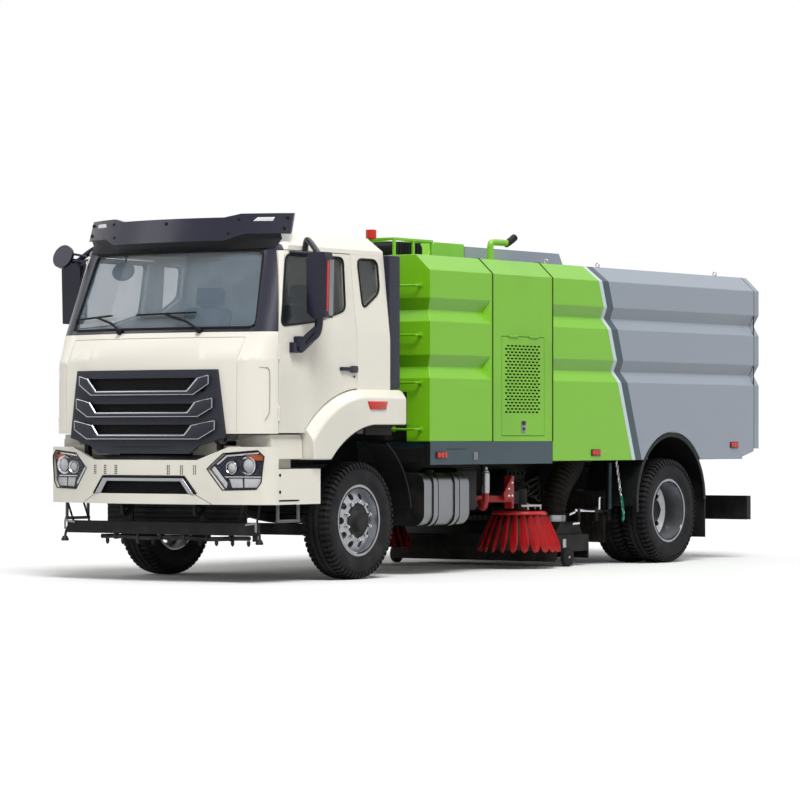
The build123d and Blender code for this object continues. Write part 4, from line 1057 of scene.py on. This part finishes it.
def bristles():
    """Red bristle: streaks that run down each tuft, painted shade near the root under the disc, and dusty at the tip.
    """
    material, wire = finish("bristle_red", {"Specular IOR Level": 0.2})
    x = wire.maths("ABSOLUTE", wire.axis("X")) - BRUSH_X
    turn = wire.maths("ARCTAN2", wire.axis("Y") - BRUSH_Y, x)
    where = wire.add("ShaderNodeCombineXYZ", None, {"X": 70.0 * turn, "Y": 3.0 * wire.axis("Z")})
    streak = wire.add("ShaderNodeTexNoise", None, {"Vector": where, "Scale": 1.0, "Detail": 4.0})
    colour = streak.ramp(0.3, 0.7).tint(rgb(98, 3, 9), rgb(188, 11, 17))
    # Painted shade: darker near the root, under the disc.
    colour = wire.axis("Z").ramp(0.40, 0.52).tint(colour, rgb(112, 4, 8))
    dust = 0.2 * (1 - wire.axis("Z").ramp(0.13, 0.24)) * streak
    return feed(material, Base_Color=dust.tint(colour, DUST), Roughness=0.55 + 0.2 * streak,
                Normal=wire.bump(streak, 0.6, 0.004))


def tuft():
    """One tuft: a flat bundle, set askew, that widens and bows out from the disc, then narrows to its tip."""
    rows, askew = [], radians(33)
    for i in range(13):
        s = i / 12
        out, z = 0.222 + 0.148 * s ** 0.8, 0.515 - 0.360 * s
        taper = 1 - 0.5 * max(0, (s - 0.7) / 0.3) ** 1.5
        wide, thick = (0.025 + 0.033 * s ** 0.8) * taper, (0.010 + 0.006 * s) * taper
        ring = [(-1, 0), (-0.8, 0.8), (0, 1.2), (0.8, 0.8), (1, 0), (0.8, -0.8), (0, -1.2), (-0.8, -0.8), (-1, 0)]
        row = []
        for u, v in ring:
            side_way = wide * u * cos(askew) - thick * v * sin(askew)
            outward = wide * u * sin(askew) + thick * v * cos(askew)
            row.append((BRUSH_X + out + outward, BRUSH_Y + side_way, z + 0.020 * u * u * s ** 3))
        rows.append(row)
    obj = sheet(rows, loop=True)
    return edit(obj, ("fill_holes", {"sides": 0}), OUTWARD)


centre = Vector((BRUSH_X, BRUSH_Y, 0))
turns = [Matrix.Translation(centre) @ Matrix.Rotation(t, 4, "Z") @ Matrix.Translation(-centre)
         for t in full_turn(TUFTS)]
# Dark cone inside the tufts: painted shade between them.
core = lathe([(0.505, 0.04), (0.505, 0.205), (0.36, 0.295), (0.24, 0.325), (0.175, 0.325), (0.175, 0.04)],
             (BRUSH_X, BRUSH_Y, 0), "Z", 44)
pair(core, "brush_core", "brush_{}", hose_rubber)
tufts = repeat(tuft(), turns)
disc = lathe([(0, 0.03), (0, 0.255), (0.012, 0.262), (0.030, 0.250), (0.034, 0.235), (0.026, 0.22), (0.026, 0.12),
              (0.036, 0.10), (0.036, 0.03)], (BRUSH_X, BRUSH_Y, 0.500), "Z", 48)
bristle_red = bristles()
pair(tufts, "bristles", "brush_{}", bristle_red, 24, "brush_{}")
pair(disc, "brush_disc", "brush_{}", red_paint, smooth=24)
ring = [(BRUSH_X + 0.20 * cos(t), BRUSH_Y + 0.20 * sin(t), 0.585) for t in [-0.9 + 0.16 * i for i in range(17)]]
drops = [tube([ring[i], Vector(ring[i]) - Vector((0, 0, 0.035))], 0.007, straight=True) for i in (2, 8, 14)]
inlet = tube([ring[-1], (BRUSH_X - 0.05, BRUSH_Y + 0.10, 0.62), (BRUSH_X, BRUSH_Y + 0.06, 0.66)], 0.010)
pair(join([tube(ring, 0.010), *drops, inlet]), "spray_ring", "brush_head_{}", milky)
cap = lathe([(0, 0), (0.016, 0), (0.016, 0.045), (0.006, 0.058), (0, 0.068)], (BRUSH_X, BRUSH_Y, 0.738), "Z", 24)
PORT = [(0.05, 0.70), (0.12, 0.71), (0.10, 0.80)]
END = (BRUSH_X - 0.10, BRUSH_Y - 0.05, 0.83)
ports = [tube([(BRUSH_X + x, BRUSH_Y + y, z) for y, z in PORT] + [END], 0.011) for x in (-0.03, 0.03)]
pair(join([cap] + ports), "brush_motor_hoses", "brush_head_{}", hose_rubber)

# Lift cylinder on each brush arm, with a red foot and bolts
LIFT = (0.86, at(2.335))
BARREL = [(0, 0), (0, 0.030), (0.03, 0.037), (0.19, 0.037), (0.20, 0.030), (0.21, 0.030), (0.22, 0.018),
          (0.245, 0.018), (0.245, 0)]
pair(lathe(BARREL, (*LIFT, 0.70), "Z", 24), "lift_cylinder", "brush_arm_{}", rim_steel)
FOOT = [(0, 0, 0.71), (0, 0, 0.62), (-0.04, 0.02, 0.56), (-0.14, 0.10, 0.60), (-0.16, 0.14, 0.64)]
foot = tube([(LIFT[0] + x, LIFT[1] + y, z) for x, y, z in FOOT], 0.032, sides=5)
brace = side_plate([(2.60, 0.64), (2.74, 0.64), (2.74, 0.84), (2.70, 0.84), (2.58, 0.70)], 0.884, 0.896, 0.003)
pair(join([foot, brace]), "lift_foot", "brush_arm_{}", red_paint)
bolts = [stud((0.892, at(y), z), 0.014, 0.012, "X", 6)
         for y, z in ((2.66, 0.68), (2.715, 0.68), (2.715, 0.80), (2.66, 0.745))]
pair(join(bolts), "arm_bolts", "brush_arm_{}", chrome)

# Suction hose with rings along its two bends
HOSE_X, LOW, HIGH = 0.70, (3.70, 0.42), (4.13, 1.286)
HOSE_ROWS = 132
rise, run = HIGH[1] - LOW[1], HIGH[0] - LOW[0]
bend = (rise * rise + run * run) / (4 * run)
half_turn = 2 * atan2(run, rise)
ring = [2 * pi * k / 28 for k in range(29)]
rows = []
for i in range(HOSE_ROWS + 1):
    s = 2 * i / HOSE_ROWS
    end, way, turn = (LOW, 1, s * half_turn) if s <= 1 else (HIGH, -1, (2 - s) * half_turn)
    y, z = at(end[0] + way * bend * (1 - cos(turn))), end[1] + way * bend * sin(turn)
    radius = 0.122 + 0.007 * cos(2 * pi * i / 6)
    rows.append([(HOSE_X + radius * cos(t), y + radius * sin(t) * cos(turn), z - radius * sin(t) * sin(turn))
                 for t in ring])
hose = sheet(rows, loop=True)
done(hose, "suction_hose_rings", "chassis", hose_rubber, smooth=40)
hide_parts("suction_hose")
COLLAR = [(-0.03, 0.126), (-0.03, 0.137), (0.03, 0.137), (0.03, 0.126)]
collars = [lathe(COLLAR, (HOSE_X, at(y), z), "Z", 32) for y, z in ((3.70, 0.45), (4.13, 1.255))]
done(join(collars), "hose_collars", "chassis", rim_steel)

# Pipes, chain, valve blocks and hoses under the body
PIPE_X = 0.95
HOOK = [(4.14, 0.52), (4.14, 0.61), (4.145, 0.645), (4.18, 0.648), (4.24, 0.645)]
pipe = route([(PIPE_X, 3.69, 0.528), (PIPE_X, 4.36, 0.508)], 0.019, straight=True)
hook = route([(PIPE_X, y, z) for y, z in HOOK], 0.012)
short = route([(PIPE_X, 3.60, 0.488), (PIPE_X, 3.70, 0.51)], 0.014, straight=True)
lever = route([(PIPE_X + 0.01, 3.64, 0.40), (PIPE_X + 0.01, 3.76, 0.405)], 0.016, straight=True)
clamps = [brick((PIPE_X - 0.03, PIPE_X + 0.026), (y, y + 0.03), (0.42, 0.55)) for y in (3.74, 4.05, 4.28)]
pair(join([pipe, hook, short, lever]), "nozzle_pipe", "chassis", chrome)
pair(join(clamps), "pipe_clamps", "chassis", iron)
ribs = row_of(brick((-0.925, -0.905), (4.258, 4.264), (0.23, 0.69), 0.002), (0.061, 0, 0), 31)
flap = brick((-0.94, 0.94), (4.263, 4.271), (0.21, 0.705), 0.003)
done(join([ribs, flap]), "spray_curtain", "chassis", hose_rubber)
link = tube([(0, 0.0104 * cos(t), 0.022 * sin(t)) for t in full_turn(12)], 0.0035, closed=True)
CHAIN_X, CHAIN = 1.10, ((4.215, 0.975), (4.335, 0.50))
links = []
for i, (y, z) in enumerate(between(*CHAIN, 13)):
    links.append(Matrix.Translation((CHAIN_X, at(y), z)) @ Matrix.Rotation(pi / 2 * (i % 2), 4, "Z"))
pair(repeat(link, links), "chain", "hopper", chrome)
rope = route([(CHAIN_X, 4.295, 0.66), (CHAIN_X + 0.006, 4.315, 0.58), (CHAIN_X - 0.004, 4.335, 0.52),
              (CHAIN_X, 4.345, 0.44), (CHAIN_X + 0.004, 4.32, 0.42)], 0.013)
pair(rope, "chain_sleeve", "hopper", sleeve_green)
post = route([(0.97, 4.30, 0.975), (0.97, 4.30, 0.53)], 0.022, straight=True)
pair(post, "side_post", "chassis", slate_paint)
block = brick((0.45, 0.62), (3.05, 3.36), (0.62, 0.92), 0.012)
caps = [stud((0.62, at(3.10 + 0.07 * i), z), 0.018, 0.02, "X", 6) for i in range(4) for z in (0.68, 0.78, 0.88)]
pair(join([block] + caps), "valve_block", "chassis", iron)
lines = []
for i in range(5):
    y = 3.08 + 0.06 * i
    lines.append(route([(0.63, y, 0.69), (0.72, y + 0.02, 0.67), (0.74, y + 0.10, 0.80 - 0.05 * i),
                        (0.66, 3.55, 0.84 - 0.04 * i), (0.50, 3.75, 0.86)], 0.011))
pair(join(lines), "hydraulic_hoses", "chassis", hose_rubber)
box = brick((0.55, 0.98), (1.70, 2.02), (0.56, 0.93), 0.02)
lid = brick((0.57, 0.96), (1.72, 2.00), (0.925, 0.945), 0.006)
done(join([box, lid]), "oil_tank", "chassis", chassis_black)
curtain = sheet([[(0.44, at(2.9 + 0.1 * i), z) for i in range(13)] for z in (0.70, 0.97)], 0.006)
pair(curtain, "frame_side_panel", "chassis", chassis_black)

# Nozzle: rubber skirt, castors and their forks
skirt_rows = [[(x, at(3.385 - lean), z) for x in (-0.94, -0.3, 0.3, 0.94)]
              for z, lean in ((0.14, 0.0), (0.09, 0.004), (0.05, 0.012))]
done(sheet(skirt_rows, 0.012), "nozzle_flap", "chassis", hose_rubber)
CASTOR = [(-0.025, 0.02), (-0.025, 0.08), (-0.018, 0.09), (0.018, 0.09), (0.025, 0.08), (0.025, 0.02)]
castor = lathe(CASTOR, (0.985, at(3.52), 0.091), "X", 32)
fork = brick((0.952, 0.958), (3.49, 3.55), (0.08, 0.26), 0.002)
pair(castor, "nozzle_castor", "chassis", tyre_rubber)
pair(join([fork, stud((0.958, at(3.52), 0.091), 0.018, 0.056, "X", 6)]), "castor_fork", "chassis", rim_steel)

# Roof: exhaust pipe and its mouth, filter ribs, lifting eyes
PIPE_Y = 2.352
BENT = [(0, 0), (0, 0.09), (0, 0.175), (0.09, 0.18), (0.29, 0.18)]
MOUTH = [(0.26, 0.172), (0.32, 0.192), (0.40, 0.238)]
bent = route([(0.90, PIPE_Y + y, BODY_TOP + z) for y, z in BENT], 0.030, sides=5)
flange = lathe([(0, 0), (0.014, 0), (0.014, 0.075), (0.008, 0.085), (0, 0.085)], (0.90, at(PIPE_Y), BODY_TOP), "Z", 32)
done(join([bent, flange]), "exhaust_pipe", "chassis", green_paint)
mouth = route([(0.90, PIPE_Y + y, BODY_TOP + z) for y, z in MOUTH], 0.034, sides=5)
done(mouth, "exhaust_mouth", "chassis", seal_rubber)
rib = brick((0.404, 0.696), (1.16, 1.175), (BODY_TOP + 0.004, BODY_TOP + 0.137))
done(row_of(rib, (0, 0.045, 0), 9), "filter_ribs", "chassis", black_plastic)
ring = [(0.019 * cos(t), 0, 0.019 * sin(t)) for t in full_turn(16)]
eye = join([tube(ring, 0.006, closed=True), lathe([(-0.034, 0), (-0.018, 0.018), (-0.018, 0)], (0, 0, 0), "Z", 16)])
spots = [(s * 1.02, at(y), BODY_TOP + 0.026) for _, s in SIDES for y in (3.10, 4.0, 6.2)]
done(spread(eye, spots), "lifting_eyes", "hopper", rim_steel)

# Tailgate: seal, ribs, locks, lamp bars
GATE = 6.686
gate = [(HALF - 0.006, 1.112), (HALF - 0.006, FOLD - 0.003), (1.098, BODY_TOP - 0.004)]
loop = [(x, 6.593, z) for x, z in both_ways(gate)]
done(route(loop, 0.006, straight=True, closed=True), "tailgate_seal", "hopper", seal_rubber)
rib = front_plate([(-0.95, 0), (0.95, 0), (0.93, 0.05), (-0.93, 0.05)], GATE - 0.002, GATE + 0.028, 0.008)
done(spread(rib, [(0, 0, z) for z in (1.30, 2.06, 2.55)]), "tailgate_ribs", "tailgate", grey_paint)
LOCK = [(1.02, 1.14), (1.14, 1.14), (1.14, 1.30), (1.10, 1.34), (1.02, 1.30)]
lock = front_plate(LOCK, GATE - 0.002, GATE + 0.022, 0.005)
pin = stud((1.08, at(GATE + 0.02), 1.22), 0.028, 0.02, "Y", 20)
pair(join([lock, pin]), "tailgate_lock", "tailgate", iron)
bar_lamp = front_plate(cornered(oblong(1.02, 1.47, 0.12, 0.05), 0.02)[0], GATE - 0.002, GATE + 0.018, 0.005)
pair(bar_lamp, "gate_lamp", "tailgate", ruby)


# Cab inside: padded seats on plinths, gauge hood, steering wheel's hub, screen and mirror
def cushion(low, high, crown, seams):
    """Padded block: a fine box drawn in at its corners, crowned in the middle and sunk along its seams."""
    obj = start("cube", size=2)
    edit(obj, ("subdivide", {"number_cuts": 15, "smoothness": 0}))
    low, high = Vector(low), Vector(high)
    for vertex in obj.data.vertices:
        u, v, w = vertex.co
        pull = [1 - 0.10 * max(0, hypot(b, c) - 0.9) ** 1.5 for b, c in ((v, w), (u, w), (u, v))]
        swell = crown * (1 - u ** 4) * (1 - v ** 4)
        groove = 0.012 * sum(max(0, 1 - abs(u - s) / 0.09) ** 2 for s in seams) * (1 - v ** 6)
        w += (swell - groove) * (1 if w > 0 else -0.4) / (high.z - low.z) * 2
        soft = Vector((u * pull[0], v * pull[1], w * pull[2]))
        vertex.co = (low + high) / 2 + Vector(s * (h - l) / 2 for s, h, l in zip(soft, high, low))
    return apply(obj, "SUBSURF", levels=1)


PLINTH = [(-0.50, 1.30), (-0.12, 1.30), (-0.14, 1.60), (-0.10, 1.63), (-0.54, 1.63), (-0.46, 1.60)]
for side, s in SIDES:
    x = 0.52 * s
    base = cushion((x - 0.25, at(-0.56), 1.63), (x + 0.25, at(-0.08), 1.765), 0.022, (-0.45, 0.45))
    back = cushion((x - 0.235, 0, 0), (x + 0.235, 0.62, 0.12), 0.02, (-0.45, 0.45))
    rest = cushion((x - 0.13, 0.64, 0.01), (x + 0.13, 0.80, 0.10), 0.012, ())
    for piece in (back, rest):
        piece.data.transform(Matrix.Translation((0, at(-0.045), 1.74)) @ Matrix.Rotation(radians(80), 4, "X"))
    for piece, name in ((base, "seat_base"), (back, "seat_back"), (rest, "head_rest")):
        obj = done(piece, name + "_" + side, "cab", seat_cloth, smooth=60)
    done(side_plate(PLINTH, x - 0.2, x + 0.2, 0.015), "seat_plinth_" + side, "cab", cab_inside)
    if side == "left":
        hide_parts("seats")
hood = side_plate([(-1.16, 2.02), (-0.96, 1.98), (-0.95, 2.03), (-1.12, 2.09)], 0.30, 0.72, 0.02)
done(hood, "gauge_hood", "cab", cab_inside)
hub = Vector((0.50, at(-0.76), 1.985))
disc = lathe([(-0.02, 0), (-0.02, 0.06), (0.008, 0.075), (0.026, 0.055), (0.03, 0)], (0, 0, 0), "Z", 32)
disc.data.transform(Matrix.Translation(hub) @ Vector((0, 0.8, 0.6)).to_track_quat("Z", "Y").to_matrix().to_4x4())
done(disc, "wheel_hub", "cab", black_plastic)
screen = front_plate(cornered(oblong(0.10, 2.045, 0.12, 0.075), 0.015)[0], -1.06, -1.045, 0.004)
done(screen, "dash_screen", "cab", gloss_black)

pane = slab("front", [(0.12 * cos(t), 0.085 * sin(t)) for t in full_turn(28)], -0.012, 0.012, 0.006)
pane.data.transform(Matrix.Translation((-0.70, at(-0.96), 2.655)) @ Matrix.Rotation(radians(-14), 4, "X"))
stalk = route([(-0.70, -0.95, 2.68), (-0.70, -0.93, 2.74), (-0.70, -0.91, 2.80)], 0.010)
done(join([pane, stalk]), "inner_mirror", "cab", grille_grey)


# Stage: camera at the photograph's angle, soft light, pale floor
def seen_rays(wire):
    """1 for what the camera sees straight, mirrored or through glass, 0 for light that bounces."""
    paths = [wire.add("ShaderNodeLightPath", out=f"Is {kind} Ray") for kind in ("Camera", "Glossy", "Transmission")]
    return wire.maths("MINIMUM", paths[0] + paths[1] + paths[2], 1.0)


def stage():
    """Adds the camera, the world, the lamps and the floor."""
    camera = bpy.data.cameras.new("camera")
    camera.lens = 158.6
    camera.shift_y = 0.0451
    camera.clip_end = 300
    eye = bpy.data.objects.new("camera", camera)
    eye.location = (18.94, -27.0, 1.23)
    eye.rotation_euler = (radians(90), 0, radians(35.42))
    bpy.context.scene.collection.objects.link(eye)
    bpy.context.scene.camera = eye
    bpy.context.scene.view_settings.view_transform = "Standard"

    world = bpy.data.worlds.new("studio")
    bpy.context.scene.world = world
    world.use_nodes = True
    background = world.node_tree.nodes["Background"]
    background.inputs["Color"].default_value = (1, 1, 1, 1)
    strength = 0.48 + 0.52 * seen_rays(Wire(world.node_tree))
    world.node_tree.links.new(strength.socket, background.inputs["Strength"])

    for name, direction, power in (("key", (-0.52, 0.45, -1.0), 2.9), ("fill", (0.7, 0.5, -0.5), 0.25)):
        lamp = bpy.data.lights.new(name, "SUN")
        lamp.energy = power
        lamp.angle = radians(25)
        light = bpy.data.objects.new(name, lamp)
        light.rotation_euler = Vector(direction).to_track_quat("-Z", "Y").to_euler()
        bpy.context.scene.collection.objects.link(light)

    lamp = bpy.data.lights.new("overhead", "AREA")
    lamp.shape, lamp.size, lamp.size_y, lamp.energy = "RECTANGLE", 9.0, 14.0, 900
    light = bpy.data.objects.new("overhead", lamp)
    light.location = (1.5, 0, 11)
    light.visible_diffuse = False
    bpy.context.scene.collection.objects.link(light)

    floor = start("plane", size=400)
    floor.name = "floor"
    material, wire = finish("floor_pale")
    pale = wire.noise(0.4).tint(rgb(232, 232, 232), rgb(238, 238, 238))
    floor.data.materials.append(feed(material, Base_Color=seen_rays(wire).tint(rgb(172, 172, 172), pale),
                                     Roughness=0.85 + 0.1 * wire.noise(3.0)))


stage()
